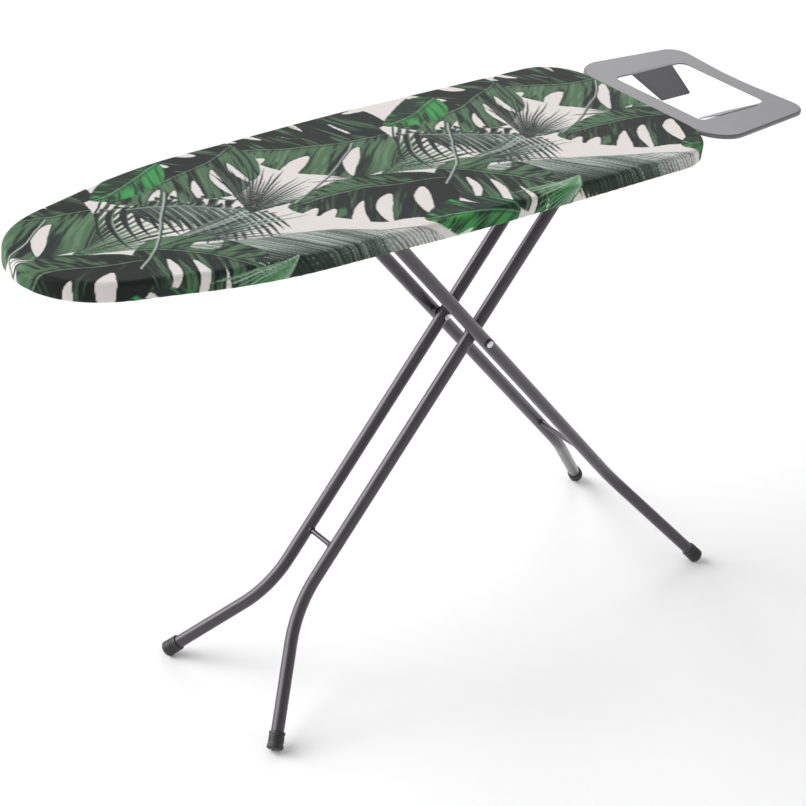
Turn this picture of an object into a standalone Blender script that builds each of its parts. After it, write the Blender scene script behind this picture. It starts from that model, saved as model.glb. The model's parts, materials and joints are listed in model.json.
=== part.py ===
"""Folding ironing board: a padded, cloth-covered steel top on two crossed tube frames, with an iron rest.

Metres, +Z up. X runs along the board: the rounded nose is at -X and the iron rest at +X.
Y runs across it, and the side with the height lever is +Y. The origin is on the floor, below the
middle of the object's box. Both frames stand open, at the ironing height.
"""

import math

import bmesh
import bpy
from mathutils import Vector

# Driving dimensions
BOARD_LENGTH = 1.095
BOARD_WIDTH = 0.358
BOARD_HEIGHT = 0.850  # top of the cloth
REST_REACH = 0.236  # iron rest beyond the tail of the board
TUBE_RADIUS = 0.010
TUBE_WALL = 0.0010
PIVOT_HEIGHT = 0.549
PIVOT_TO_TAIL = 0.330
AXLE_HEIGHT = 0.805  # hinge rod and slide rod, under the top
INNER_ANGLE = math.radians(53.0)  # slope of the frame that is hinged to the top
OUTER_ANGLE = math.radians(46.5)  # slope of the frame that slides
INNER_HALF_GAP = 0.0325  # tube centre line from the middle plane
OUTER_HALF_GAP = 0.062
GAP = 0.0003  # between pieces that touch

# Board section
COVER_DROP = 0.0275
CLOTH = 0.0015
PAD_THICKNESS = 0.0055
SHEET = 0.0008
RIM_LIP = 0.005
RIM_LEDGE = 0.010  # where the sheet is welded down
TAIL_CORNER = 0.080

# Rods, rivets and caps
ROD_RADIUS = 0.004
PIN_RADIUS = 0.003
RIVET_RADIUS = 0.0035
FOOT_RADIUS = 0.01275
FOOT_LENGTH = 0.027
FOOT_SINK = 0.0025  # how much of the round end the floor facet takes off

# Places worked out from the driving dimensions
TOTAL_LENGTH = BOARD_LENGTH + REST_REACH
NOSE_X = -TOTAL_LENGTH / 2
TAIL_X = NOSE_X + BOARD_LENGTH
REST_END_X = TOTAL_LENGTH / 2
PIVOT_X = TAIL_X - PIVOT_TO_TAIL
INNER_ARM = (AXLE_HEIGHT - PIVOT_HEIGHT) / math.sin(INNER_ANGLE)
OUTER_ARM = (AXLE_HEIGHT - PIVOT_HEIGHT) / math.sin(OUTER_ANGLE)
HINGE_X = PIVOT_X + INNER_ARM * math.cos(INNER_ANGLE)
SLIDE_X = PIVOT_X - OUTER_ARM * math.cos(OUTER_ANGLE)
SKIRT_Z = BOARD_HEIGHT - COVER_DROP
PAD_TOP_Z = BOARD_HEIGHT - CLOTH - GAP
SHEET_TOP_Z = PAD_TOP_Z - PAD_THICKNESS - GAP
CEILING_Z = SHEET_TOP_Z - SHEET
UNDER_Z = CEILING_Z - GAP  # top of whatever is welded under the sheet
SIDES = (("near", -1), ("far", 1))


# ---------------------------------------------------------------- tools

def finish(name, mesh_data, paint, parent=None):
    """Put a bmesh into the scene as one object with its own material."""
    bmesh.ops.recalc_face_normals(mesh_data, faces=mesh_data.faces[:])
    mesh = bpy.data.meshes.new(name)
    mesh_data.to_mesh(mesh)
    mesh_data.free()
    mesh.shade_smooth()
    mesh.set_sharp_from_angle(angle=math.radians(34))
    obj = bpy.data.objects.new(name, mesh)
    bpy.context.collection.objects.link(obj)
    obj.parent = parent
    material = bpy.data.materials.new(name)
    material.use_nodes = True
    shader = material.node_tree.nodes["Principled BSDF"]
    shader.inputs["Base Color"].default_value = (*paint[0], 1.0)
    shader.inputs["Metallic"].default_value = paint[1]
    shader.inputs["Roughness"].default_value = paint[2]
    mesh.materials.append(material)
    return obj


def skin(loops, closed=False):
    """Bridge equal loops of points. Open stacks get a face at each end, closed ones join up."""
    data = bmesh.new()
    rings = [[data.verts.new(point) for point in loop] for loop in loops]
    pairs = list(zip(rings, rings[1:]))
    if closed:
        pairs.append((rings[-1], rings[0]))
    else:
        data.faces.new(rings[0])
        data.faces.new(rings[-1])
    for first, second in pairs:
        for i in range(len(first)):
            j = (i + 1) % len(first)
            data.faces.new((first[i], first[j], second[j], second[i]))
    return data


def circle(centre, direction, radius, sides, phase=0.0):
    """Points round an axis, from phase steps past +Z or, round an upright axis, past +X."""
    axis = Vector(direction).normalized()
    guide = Vector((0, 0, 1)) if abs(axis.z) < 0.9 else Vector((1, 0, 0))
    across = axis.cross(guide).normalized()
    up = across.cross(axis)
    turns = [2 * math.pi * (i + phase) / sides for i in range(sides)]
    return [Vector(centre) + radius * (math.cos(t) * up + math.sin(t) * across) for t in turns]


def turned(stations, origin=(0, 0, 0), direction=(0, 1, 0), sides=16):
    """A solid turned about an axis from (distance along it, radius) stations."""
    axis = Vector(direction).normalized()
    return skin([circle(Vector(origin) + axis * s, axis, r, sides) for s, r in stations])


def ring(start, end, outer, bore, origin=(0, 0, 0), direction=(0, 1, 0), sides=16):
    """A plain bush or washer."""
    axis = Vector(direction).normalized()
    stations = ((start, outer), (end, outer), (end, bore), (start, bore))
    loops = [circle(Vector(origin) + axis * s, axis, r, sides) for s, r in stations]
    return skin(loops, closed=True)


def prism(profile, start, end, along="x"):
    """Extrude a profile: (y, z) pairs along x, or (x, z) pairs along y."""
    if along == "x":
        return skin([[(s, a, b) for a, b in profile] for s in (start, end)])
    return skin([[(a, s, b) for a, b in profile] for s in (start, end)])


def round_edges(data, radius, chosen, segments=4):
    """Bevel the edges for which chosen(first point, second point) is true."""
    edges = [e for e in data.edges if chosen(e.verts[0].co, e.verts[1].co)]
    bmesh.ops.bevel(
        data, geom=edges, offset=radius, segments=segments, profile=0.5, affect="EDGES"
    )
    return data


def cut(target, name, data, parent=None, operation="DIFFERENCE"):
    """Boolean a hidden helper into the target."""
    helper = finish(name, data, STEEL, parent)
    helper.hide_render = True
    helper.display_type = "WIRE"
    modifier = target.modifiers.new(name, "BOOLEAN")
    modifier.operation = operation
    modifier.object = helper
    modifier.solver = "EXACT"


def axis_empty(name, place, turn_y=0.0):
    """An empty on a joint's axis, turned so that its X runs down the frame."""
    empty = bpy.data.objects.new(name, None)
    bpy.context.collection.objects.link(empty)
    empty.location = place
    empty.rotation_euler = (0, turn_y, 0)
    return empty


# Colour, metallic, roughness
FRAME_PAINT = ((0.075, 0.070, 0.078), 0.6, 0.38)
STEEL = ((0.55, 0.55, 0.56), 0.9, 0.32)
SHEET_PAINT = ((0.60, 0.60, 0.60), 0.3, 0.5)
REST_PAINT = ((0.33, 0.33, 0.345), 0.7, 0.42)
CLOTH_PRINT = ((0.10, 0.19, 0.12), 0.0, 0.85)
FELT = ((0.72, 0.71, 0.68), 0.0, 0.95)
BLACK_PLASTIC = ((0.022, 0.020, 0.022), 0.0, 0.45)
WHITE_PLASTIC = ((0.70, 0.70, 0.68), 0.0, 0.4)
SPRING_WIRE = ((0.42, 0.42, 0.44), 1.0, 0.28)


# ---------------------------------------------------------------- outlines

def bezier(a, b, c, d, steps):
    """Points of a cubic curve, without its last one."""
    points = []
    for i in range(steps):
        t = i / steps
        u = 1 - t
        points.append(
            tuple(
                u**3 * p + 3 * u * u * t * q + 3 * u * t * t * r + t**3 * s
                for p, q, r, s in zip(a, b, c, d)
            )
        )
    return points


def arc(centre, radius, start_deg, end_deg, steps):
    """Points of an arc, with both ends."""
    angles = [start_deg + (end_deg - start_deg) * i / steps for i in range(steps + 1)]
    return [
        (
            centre[0] + radius * math.cos(math.radians(a)),
            centre[1] + radius * math.sin(math.radians(a)),
        )
        for a in angles
    ]


def board_outline():
    """The board seen from above: a blunt rounded nose, long soft flanks and a tail with round corners."""
    half = BOARD_WIDTH / 2
    upper = bezier((0, 0), (0, 0.062), (0.045, 0.100), (0.112, 0.1165), 8)
    upper += bezier((0.112, 0.1165), (0.190, 0.1355), (0.240, 0.1620), (0.390, 0.1670), 6)
    upper += bezier((0.390, 0.1670), (0.500, 0.1705), (0.560, half), (0.700, half), 5)
    corner_x = BOARD_LENGTH - TAIL_CORNER
    corner_y = half - TAIL_CORNER
    upper += arc((corner_x, corner_y), TAIL_CORNER, 90, 0, 8)
    lower = [(x, -y) for x, y in reversed(upper[1:])]
    return [Vector((NOSE_X + x, y)) for x, y in upper + lower]


def inset(outline, distance):
    """Move each point of a closed outline inwards, along the mean normal of its two sides."""
    moved = []
    count = len(outline)
    for i, point in enumerate(outline):
        before = (point - outline[i - 1]).normalized()
        after = (outline[(i + 1) % count] - point).normalized()
        inward = Vector((before.y + after.y, -before.x - after.x)).normalized()
        stretch = 1 / max(0.5, inward.dot(Vector((after.y, -after.x))))
        moved.append(point + inward * distance * stretch)
    return moved


def shell_of(outline, stations, closed=False):
    """Skin the outline at each (inset, height) station: a capped pan or plate, or a closed ring."""
    return skin([[(p.x, p.y, z) for p in inset(outline, d)] for d, z in stations], closed)


# ---------------------------------------------------------------- ironing top

def make_top():
    outline = board_outline()
    rim = CLOTH + 2 * GAP
    hem = 0.030
    hem_top = SKIRT_Z + CLOTH
    cover = (
        (0.0060, BOARD_HEIGHT),
        (0.0015, BOARD_HEIGHT - 0.0018),
        (0.0, BOARD_HEIGHT - 0.0060),
        (0.0, SKIRT_Z + 0.0030),
        (0.0030, SKIRT_Z),
        (hem, SKIRT_Z),
        (hem, hem_top),
        (0.0034, hem_top),
        (CLOTH, SKIRT_Z + 0.0036),
        (CLOTH, BOARD_HEIGHT - 0.0062),
        (0.0028, BOARD_HEIGHT - 0.0030),
        (0.0066, BOARD_HEIGHT - CLOTH),
    )
    finish("fabric_cover", shell_of(outline, cover), CLOTH_PRINT)
    pad = (
        (0.0072, PAD_TOP_Z),
        (0.0034, PAD_TOP_Z - 0.0022),
        (0.0026, PAD_TOP_Z - PAD_THICKNESS),
    )
    finish("felt_pad", shell_of(outline, pad), FELT)
    sheet = (
        (rim + 0.0003, SHEET_TOP_Z),
        (rim, SHEET_TOP_Z - 0.0003),
        (rim, CEILING_Z),
    )
    finish("steel_top", shell_of(outline, sheet), SHEET_PAINT)
    rim_bottom = hem_top + GAP
    channel = (
        (rim, UNDER_Z),
        (rim, rim_bottom + 0.0024),
        (rim + 0.0016, rim_bottom),
        (rim + RIM_LIP, rim_bottom),
        (rim + RIM_LIP, rim_bottom + SHEET),
        (rim + 0.0020, rim_bottom + SHEET),
        (rim + SHEET, rim_bottom + 0.0028),
        (rim + SHEET, UNDER_Z - SHEET),
        (rim + RIM_LEDGE, UNDER_Z - SHEET),
        (rim + RIM_LEDGE, UNDER_Z),
    )
    finish("top_rim", shell_of(outline, channel, closed=True), SHEET_PAINT)


# ---------------------------------------------------------------- iron rest

REST_TOP_Z = 0.842
REST_LIP = 0.006
REST_SHEET = 0.0015
REST_HALF_BOARD_END = 0.1635
REST_HALF_FAR_END = 0.142
REST_START_X = TAIL_X + 0.006
WINDOW_X = (TAIL_X + 0.042, TAIL_X + 0.196)
WINDOW_HALF = (0.093, 0.088)
TAB_ROOT_X = (TAIL_X + 0.079, TAIL_X + 0.171)
TAB_TIP_X = (TAIL_X + 0.102, TAIL_X + 0.168)
TAB_LENGTH = 0.0575
TAB_ANGLE = math.radians(30)


def rounded(corners, steps):
    """Round a polygon's corners: each is (x, y, radius)."""
    points = []
    count = len(corners)
    for i, (x, y, radius) in enumerate(corners):
        here = Vector((x, y))
        back = (Vector(corners[i - 1][:2]) - here).normalized()
        ahead = (Vector(corners[(i + 1) % count][:2]) - here).normalized()
        half_angle = back.angle(ahead) / 2
        reach = radius / math.tan(half_angle)
        centre = here + (back + ahead).normalized() * radius / math.sin(half_angle)
        first = here + back * reach - centre
        turn = math.pi - 2 * half_angle
        sign = 1 if first.y * back.x - first.x * back.y > 0 else -1
        for step in range(steps + 1):
            angle = sign * turn * step / steps
            points.append(
                centre
                + Vector(
                    (
                        first.x * math.cos(angle) - first.y * math.sin(angle),
                        first.x * math.sin(angle) + first.y * math.cos(angle),
                    )
                )
            )
    return points


def rest_outline():
    """A tapered plate with round corners, its far edge drawn in at the middle."""
    waist_x = REST_END_X - 0.009
    # The corners are rounded off, so their tips stand out for the edge to reach the full length.
    tip_x = REST_END_X + 0.0036
    return rounded(
        (
            (REST_START_X, REST_HALF_BOARD_END, 0.055),
            (tip_x, REST_HALF_FAR_END, 0.032),
            (waist_x, 0.028, 0.150),
            (waist_x, -0.028, 0.150),
            (tip_x, -REST_HALF_FAR_END, 0.032),
            (REST_START_X, -REST_HALF_BOARD_END, 0.055),
        ),
        6,
    )


def make_iron_rest():
    sheet = (
        (0.0022, REST_TOP_Z),
        (0.0006, REST_TOP_Z - 0.0007),
        (0.0, REST_TOP_Z - 0.0024),
        (0.0, REST_TOP_Z - REST_LIP),
        (REST_SHEET, REST_TOP_Z - REST_LIP),
        (REST_SHEET, REST_TOP_Z - 0.0028),
        (0.0034, REST_TOP_Z - REST_SHEET),
    )
    rest = finish("iron_rest", shell_of(rest_outline(), sheet), REST_PAINT)
    window = rounded(
        (
            (WINDOW_X[0], WINDOW_HALF[0], 0.010),
            (WINDOW_X[1], WINDOW_HALF[1], 0.014),
            (WINDOW_X[1], -WINDOW_HALF[1], 0.014),
            (WINDOW_X[0], -WINDOW_HALF[0], 0.010),
        ),
        5,
    )
    low = REST_TOP_Z - 0.02
    high = REST_TOP_Z + 0.02
    hole = skin([[(p.x, p.y, z) for p in window] for z in (low, high)])
    cut(rest, "window_cutter", hole)
    fold = (WINDOW_HALF[0] + WINDOW_HALF[1]) / 2
    bend_radius = 0.0035
    for side_name, side in SIDES:
        cut(rest, "tab_" + side_name, rest_tab(side, fold, bend_radius), operation="UNION")


def rest_tab(side, fold, bend_radius):
    """A tongue that leaves the window's edge and bends down into the opening."""
    top_z = REST_TOP_Z - GAP  # sunk a little, so that no faces coincide with the plate's
    centre_z = top_z - bend_radius
    root = 0.005  # how far the tongue starts inside the plate
    stations = [(fold + root, top_z, 0.0)]
    for step in range(4):
        angle = TAB_ANGLE * step / 3
        y = fold - bend_radius * math.sin(angle)
        stations.append((y, centre_z + bend_radius * math.cos(angle), angle))
    y, z, angle = stations[-1]
    stations.append((y - TAB_LENGTH * math.cos(angle), z - TAB_LENGTH * math.sin(angle), angle))
    loops = []
    last = len(stations) - 1
    for index, (y, z, angle) in enumerate(stations):
        low = (side * (y - REST_SHEET * math.sin(angle)), z - REST_SHEET * math.cos(angle))
        high = (side * y, z)
        start, end = TAB_TIP_X if index == last else TAB_ROOT_X
        loops.append([(start, *high), (end, *high), (end, *low), (start, *low)])
    return skin(loops)


ARM_Y = 0.100
ARM_HALF_WIDTH = 0.012
ARM_SHEET = 0.0022


def make_rest_arms():
    """A cranked strip each side: welded to the rest, dipping under the skirt, screwed under the sheet."""
    low_z = SKIRT_Z - GAP
    rest_under = REST_TOP_Z - REST_SHEET - GAP
    line = (
        (TAIL_X - 0.150, UNDER_Z),
        (TAIL_X - 0.078, UNDER_Z),
        (TAIL_X - 0.050, low_z),
        (TAIL_X + 0.004, low_z),
        (TAIL_X + 0.018, rest_under),
        (TAIL_X + 0.040, rest_under),
    )
    profile = list(line) + [(x, z - ARM_SHEET) for x, z in reversed(line)]
    for side_name, side in SIDES:
        start = side * ARM_Y - ARM_HALF_WIDTH
        arm = finish(
            "rest_arm_" + side_name,
            prism(profile, start, start + 2 * ARM_HALF_WIDTH, along="y"),
            REST_PAINT,
        )
        for number, back in enumerate((0.135, 0.095), 1):
            place = (TAIL_X - back, side * ARM_Y, UNDER_Z - ARM_SHEET)
            hole = turned(((-0.006, 0.0028), (0.006, 0.0028)), place, (0, 0, 1), 12)
            cut(arm, f"screw_hole_{side_name}_{number}", hole)
            head = (
                (-0.0036, 0.0030),
                (-0.0030, 0.0044),
                (-GAP, 0.0050),
                (-GAP, 0.0025),
                (ARM_SHEET - GAP, 0.0025),
            )
            finish(f"rest_screw_{side_name}_{number}", turned(head, place, (0, 0, 1), 12), STEEL)


# ---------------------------------------------------------------- under the top

BRACKET_Y = 0.0455
BRACKET_HALF_LENGTH = 0.024
BRACKET_BOTTOM_Z = AXLE_HEIGHT - 0.011
RAIL_Y = 0.0765
RAIL_SHEET = 0.002
RAIL_X = (SLIDE_X - 0.262, SLIDE_X + 0.024)
RAIL_BOTTOM_Z = 0.7845
BUSH_RADIUS = 0.0056
SLIDE_TRAVEL = 0.240
SLOT_PLAY = 0.0046  # room below the bush for the middle of its travel


def angle_iron(side, y, flange, bottom):
    """(y, z) section of a strip that hangs down and has a flange along the sheet's underside."""
    a = side * y
    b = side * (y + RAIL_SHEET)
    c = side * (y + flange)
    under = UNDER_Z - RAIL_SHEET
    return ((a, UNDER_Z), (c, UNDER_Z), (c, under), (b, under), (b, bottom), (a, bottom))


def bottom_corner(bottom):
    """Choose the edges across the strip at its lowest corners."""

    def chosen(p, q):
        at_bottom = max(p.z, q.z) < bottom + 1e-6
        return at_bottom and abs(p.x - q.x) < 1e-6

    return chosen


def make_hinge_brackets():
    for side_name, side in SIDES:
        section = angle_iron(side, BRACKET_Y, 0.022, BRACKET_BOTTOM_Z)
        start = HINGE_X - BRACKET_HALF_LENGTH
        data = prism(section, start, HINGE_X + BRACKET_HALF_LENGTH)
        round_edges(data, 0.014, bottom_corner(BRACKET_BOTTOM_Z))
        bracket = finish("hinge_bracket_" + side_name, data, FRAME_PAINT)
        place = (HINGE_X, side * BRACKET_Y, AXLE_HEIGHT)
        hole = turned(((-0.006, ROD_RADIUS + GAP), (0.006, ROD_RADIUS + GAP)), place)
        cut(bracket, "hinge_hole_" + side_name, hole)


def make_slide_rails():
    top = AXLE_HEIGHT + BUSH_RADIUS + GAP
    bottom = AXLE_HEIGHT - BUSH_RADIUS - GAP - SLOT_PLAY
    radius = (top - bottom) / 2
    middle = (top + bottom) / 2
    # The slot's round end stops the bush where the frames stand open.
    right = SLIDE_X - radius + BUSH_RADIUS + 0.004
    left = SLIDE_X - SLIDE_TRAVEL + radius - BUSH_RADIUS - 0.004
    slot = arc((right, middle), radius, 90, -90, 8) + arc((left, middle), radius, 270, 90, 8)
    for side_name, side in SIDES:
        section = angle_iron(side, RAIL_Y, 0.018, RAIL_BOTTOM_Z)
        data = prism(section, RAIL_X[0], RAIL_X[1])
        round_edges(data, 0.012, bottom_corner(RAIL_BOTTOM_Z))
        rail = finish("slide_rail_" + side_name, data, FRAME_PAINT)
        start = side * (RAIL_Y - 0.010)
        cut(rail, "slot_" + side_name, prism(slot, start, start + side * 0.022, along="y"))


# ---------------------------------------------------------------- tube frames

def leg_line(end, half_gap, side, top, bend_start, bend_radius, splay):
    """Centre line of one leg in its frame's plane, and the direction of its last stretch."""
    points = [Vector((top, side * half_gap, 0)), Vector((bend_start, side * half_gap, 0))]
    steps = 7
    for step in range(1, steps + 1):
        angle = splay * step / steps
        x = bend_start + bend_radius * math.sin(angle)
        y = half_gap + bend_radius * (1 - math.cos(angle))
        points.append(Vector((x, side * y, 0)))
    direction = Vector((math.cos(splay), side * math.sin(splay), 0))
    last = points[-1]
    points.append(last + direction * (end - last.x) / direction.x)
    return points, direction


def tube(points):
    """A hollow round tube along a line that lies in its frame's plane, open at both ends."""
    outer = []
    inner = []
    for i, point in enumerate(points):
        ahead = points[min(i + 1, len(points) - 1)]
        behind = points[max(i - 1, 0)]
        along = (ahead - behind).normalized()
        outer.append(circle(point, along, TUBE_RADIUS, 16, 0.5))
        inner.append(circle(point, along, TUBE_RADIUS - TUBE_WALL, 16, 0.5))
    return skin(outer + inner[::-1], closed=True)


def foot_cap(end, direction, parent, floor_height):
    """A cup over the tube's end, with a small facet where it stands on the floor."""
    bore = TUBE_RADIUS + GAP
    mouth = -FOOT_LENGTH
    stations = (
        (-0.0032, bore),
        (mouth, bore),
        (mouth, FOOT_RADIUS - 0.0012),
        (mouth + 0.0012, FOOT_RADIUS - 0.0004),
        (-0.0040, FOOT_RADIUS),
        (-0.0012, FOOT_RADIUS - 0.0010),
        (0.0, FOOT_RADIUS - 0.0032),
    )
    data = turned(stations, end, direction, 18)
    # The floor, in the frame's own axes
    up = parent.rotation_euler.to_matrix().inverted() @ Vector((0, 0, 1))
    floor = up * -floor_height
    everything = data.verts[:] + data.edges[:] + data.faces[:]
    cut_through = bmesh.ops.bisect_plane(
        data, geom=everything, plane_co=floor, plane_no=up, clear_inner=True
    )
    edges = [g for g in cut_through["geom_cut"] if isinstance(g, bmesh.types.BMEdge)]
    bmesh.ops.contextual_create(data, geom=edges)
    return data


def cap_end(axis_height, slope, splay):
    """How far down the frame the cap's end lies, so that its edge goes FOOT_SINK below the floor."""
    along_z = math.sin(slope) * math.cos(splay)
    centre_height = FOOT_RADIUS * math.sqrt(1 - along_z**2) - FOOT_SINK
    return (axis_height - centre_height) / math.sin(slope)


def drill(leg, name, x, y_from, y_to, radius, parent):
    """A hole across a leg, at x down the frame."""
    bore = turned(((y_from, radius), (y_to, radius)), (x, 0, 0))
    cut(leg, name, bore, parent)


def make_frame(title, parent, axis_height, shape, crossbar_at, bores):
    """Two legs, their foot caps and the bar between them. bores are (x, radius) through each leg."""
    slope, half_gap, top, bend_start, bend_radius, splay = shape
    end = cap_end(axis_height, slope, splay)
    cap_floor = 0.0036
    tube_end = end - cap_floor * math.cos(splay)
    for side_name, side in SIDES:
        line, direction = leg_line(tube_end, half_gap, side, top, bend_start, bend_radius, splay)
        leg = finish(f"{title}_leg_{side_name}", tube(line), FRAME_PAINT, parent)
        for number, (x, radius) in enumerate(bores, 1):
            near = side * (half_gap - 0.016)
            far = side * (half_gap + 0.016)
            drill(leg, f"{title}_bore_{side_name}_{number}", x, near, far, radius, parent)
        mid = side * half_gap
        bar_bore = ROD_RADIUS + GAP
        drill(leg, f"{title}_bar_bore_{side_name}", crossbar_at, 0, mid, bar_bore, parent)
        cap_point = line[-1] + direction * cap_floor
        cap = foot_cap(cap_point, direction, parent, axis_height)
        finish(f"{title}_foot_{side_name}", cap, BLACK_PLASTIC, parent)
    reach = half_gap - TUBE_RADIUS + TUBE_WALL
    bar = turned(((-reach, ROD_RADIUS), (reach, ROD_RADIUS)), (crossbar_at, 0, 0))
    finish(title + "_crossbar", bar, FRAME_PAINT, parent)


def headed_rod(reach, radius, head_radius, head):
    """A rod with a domed head at each end; reach is half its length without the heads."""
    half = [
        (reach, radius),
        (reach, head_radius),
        (reach + head * 0.6, head_radius * 0.9),
        (reach + head, head_radius * 0.5),
    ]
    return [(-s, r) for s, r in reversed(half)] + half


TUBE_TOP = 0.012  # how far a tube runs past its rod
INNER_BEND = 0.440  # below the scissor pivot
OUTER_BEND = 0.463
RIVET_CLEAR = RIVET_RADIUS + GAP
ROD_CLEAR = ROD_RADIUS + GAP


def make_inner_frame():
    """Hinged to the top by the rod through its upper ends."""
    place = (HINGE_X, 0, AXLE_HEIGHT)
    parent = axis_empty("inner_frame_axis", place, math.pi - INNER_ANGLE)
    shape = (
        INNER_ANGLE,
        INNER_HALF_GAP,
        -TUBE_TOP,
        INNER_ARM + INNER_BEND,
        0.200,
        math.radians(30.5),
    )
    bores = ((0.0, ROD_CLEAR), (INNER_ARM, RIVET_CLEAR))
    make_frame("inner", parent, AXLE_HEIGHT, shape, INNER_ARM + 0.386, bores)
    rod = turned(headed_rod(BRACKET_Y + RAIL_SHEET + GAP, ROD_RADIUS, 0.0062, 0.0030))
    finish("hinge_rod", rod, STEEL, parent)
    start = INNER_HALF_GAP + TUBE_RADIUS + GAP
    end = OUTER_HALF_GAP - TUBE_RADIUS - GAP
    for side_name, side in SIDES:
        spacer = ring(side * start, side * end, 0.0075, RIVET_CLEAR, (INNER_ARM, 0, 0))
        finish("pivot_spacer_" + side_name, spacer, BLACK_PLASTIC, parent)


def make_outer_frame():
    """Riveted to the inner frame at the scissor pivot; the rod through its upper ends slides."""
    place = (PIVOT_X, 0, PIVOT_HEIGHT)
    parent = axis_empty("outer_frame_axis", place, OUTER_ANGLE)
    shape = (
        OUTER_ANGLE,
        OUTER_HALF_GAP,
        -OUTER_ARM - TUBE_TOP,
        OUTER_BEND,
        0.210,
        math.radians(20),
    )
    bores = ((-OUTER_ARM, ROD_CLEAR), (0.0, RIVET_CLEAR))
    make_frame("outer", parent, PIVOT_HEIGHT, shape, 0.410, bores)
    top = (-OUTER_ARM, 0, 0)
    rod_reach = TOOTH_Y - 0.0008  # short of the lever's teeth, which stay clear of its path
    finish("slide_rod", turned(((-rod_reach, ROD_RADIUS), (rod_reach, ROD_RADIUS)), top), STEEL, parent)
    outside = OUTER_HALF_GAP + TUBE_RADIUS
    inside = INNER_HALF_GAP - TUBE_RADIUS
    nut_at = RAIL_Y + RAIL_SHEET + 0.0018
    for side_name, side in SIDES:
        bush = ring(side * (outside + GAP), side * (nut_at - GAP), BUSH_RADIUS, ROD_CLEAR, top)
        finish("slide_bush_" + side_name, bush, WHITE_PLASTIC, parent)
        nut = ring(side * nut_at, side * (nut_at + 0.0022), 0.0088, ROD_CLEAR, top)
        finish("slide_nut_" + side_name, nut, STEEL, parent)
        rivet = (
            (inside - 0.0034, 0.0030),
            (inside - 0.0022, 0.0058),
            (inside - GAP, 0.0062),
            (inside - GAP, RIVET_RADIUS),
            (outside + 0.0013, RIVET_RADIUS),
            (outside + 0.0013, 0.0060),
            (outside + 0.0030, 0.0050),
            (outside + 0.0040, 0.0026),
        )
        data = turned([(side * s, r) for s, r in rivet])
        finish("pivot_rivet_" + side_name, data, STEEL, parent)
        washer = finish(
            "pivot_washer_" + side_name,
            ring(side * (outside - 0.0050), side * (outside + 0.0010), 0.0082, RIVET_CLEAR),
            BLACK_PLASTIC,
            parent,
        )
        saddle = turned(
            ((-0.02, TUBE_RADIUS + GAP), (0.02, TUBE_RADIUS + GAP)),
            (0, side * OUTER_HALF_GAP, 0),
            (1, 0, 0),
            32,
        )
        cut(washer, "saddle_" + side_name, saddle, parent)


# ---------------------------------------------------------------- height lever

LEVER_Y = 0.118
LEVER_Z = 0.800
LEVER_X = (SLIDE_X - 0.106, SLIDE_X + 0.026)
LEVER_SHEET = 0.0018
KNUCKLE_RADIUS = 0.0056
TOOTH_Y = 0.0856
TOOTH_TOP_Z = AXLE_HEIGHT + 0.001
NOTCH_PITCH = 0.022
GRIP_Y = (0.132, 0.164)


def make_lever_brackets():
    for name, x in (("front", LEVER_X[0] - 0.0035), ("rear", LEVER_X[1] + 0.0215)):
        bottom = LEVER_Z - 0.0085
        under = UNDER_Z - RAIL_SHEET
        ear_x = x + RAIL_SHEET / 2
        line = (
            (ear_x - RAIL_SHEET, UNDER_Z),
            (ear_x + 0.014, UNDER_Z),
            (ear_x + 0.014, under),
            (ear_x, under),
            (ear_x, bottom),
            (ear_x - RAIL_SHEET, bottom),
        )
        data = prism(line, LEVER_Y - 0.0085, LEVER_Y + 0.0085, along="y")
        round_edges(
            data,
            0.0075,
            lambda p, q: max(p.z, q.z) < bottom + 1e-6 and abs(p.y - q.y) < 1e-6,
        )
        bracket = finish("lever_bracket_" + name, data, FRAME_PAINT)
        place = (x, LEVER_Y, LEVER_Z)
        hole = turned(
            ((-0.006, PIN_RADIUS + GAP), (0.006, PIN_RADIUS + GAP)), place, (1, 0, 0), 12
        )
        cut(bracket, "lever_pin_hole_" + name, hole)
    middle = (LEVER_X[0] + LEVER_X[1] + 0.018) / 2
    reach = (LEVER_X[1] - LEVER_X[0] + 0.025) / 2 + RAIL_SHEET
    rod = headed_rod(reach, PIN_RADIUS, 0.0048, 0.0022)
    finish("lever_pin", turned(rod, (middle, LEVER_Y, LEVER_Z), (1, 0, 0), 12), STEEL)


def make_lever_spring():
    """Torsion spring on the pin, between the lever and its rear bracket."""
    wire = 0.0007
    coil_radius = 0.0050
    pitch = 0.0024
    turns = 5
    per_turn = 12
    start_x = LEVER_X[1] + 0.0034
    points = []
    for step in range(turns * per_turn + 1):
        angle = 2 * math.pi * step / per_turn
        y = LEVER_Y + coil_radius * math.sin(angle)
        z = LEVER_Z + coil_radius * math.cos(angle)
        points.append(Vector((start_x + pitch * step / per_turn, y, z)))
    points.insert(0, points[0] + Vector((0, -0.010, 0)))
    points.append(points[-1] + Vector((0, 0.012, 0)))
    loops = []
    for i, point in enumerate(points):
        along = points[min(i + 1, len(points) - 1)] - points[max(i - 1, 0)]
        axis = along.normalized()
        side = axis.cross(Vector((1, 0, 0))).normalized()
        up = side.cross(axis)
        corners = [2 * math.pi * k / 6 for k in range(6)]
        loops.append([point + wire * (math.cos(c) * side + math.sin(c) * up) for c in corners])
    finish("lever_spring", skin(loops), SPRING_WIRE)


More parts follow.
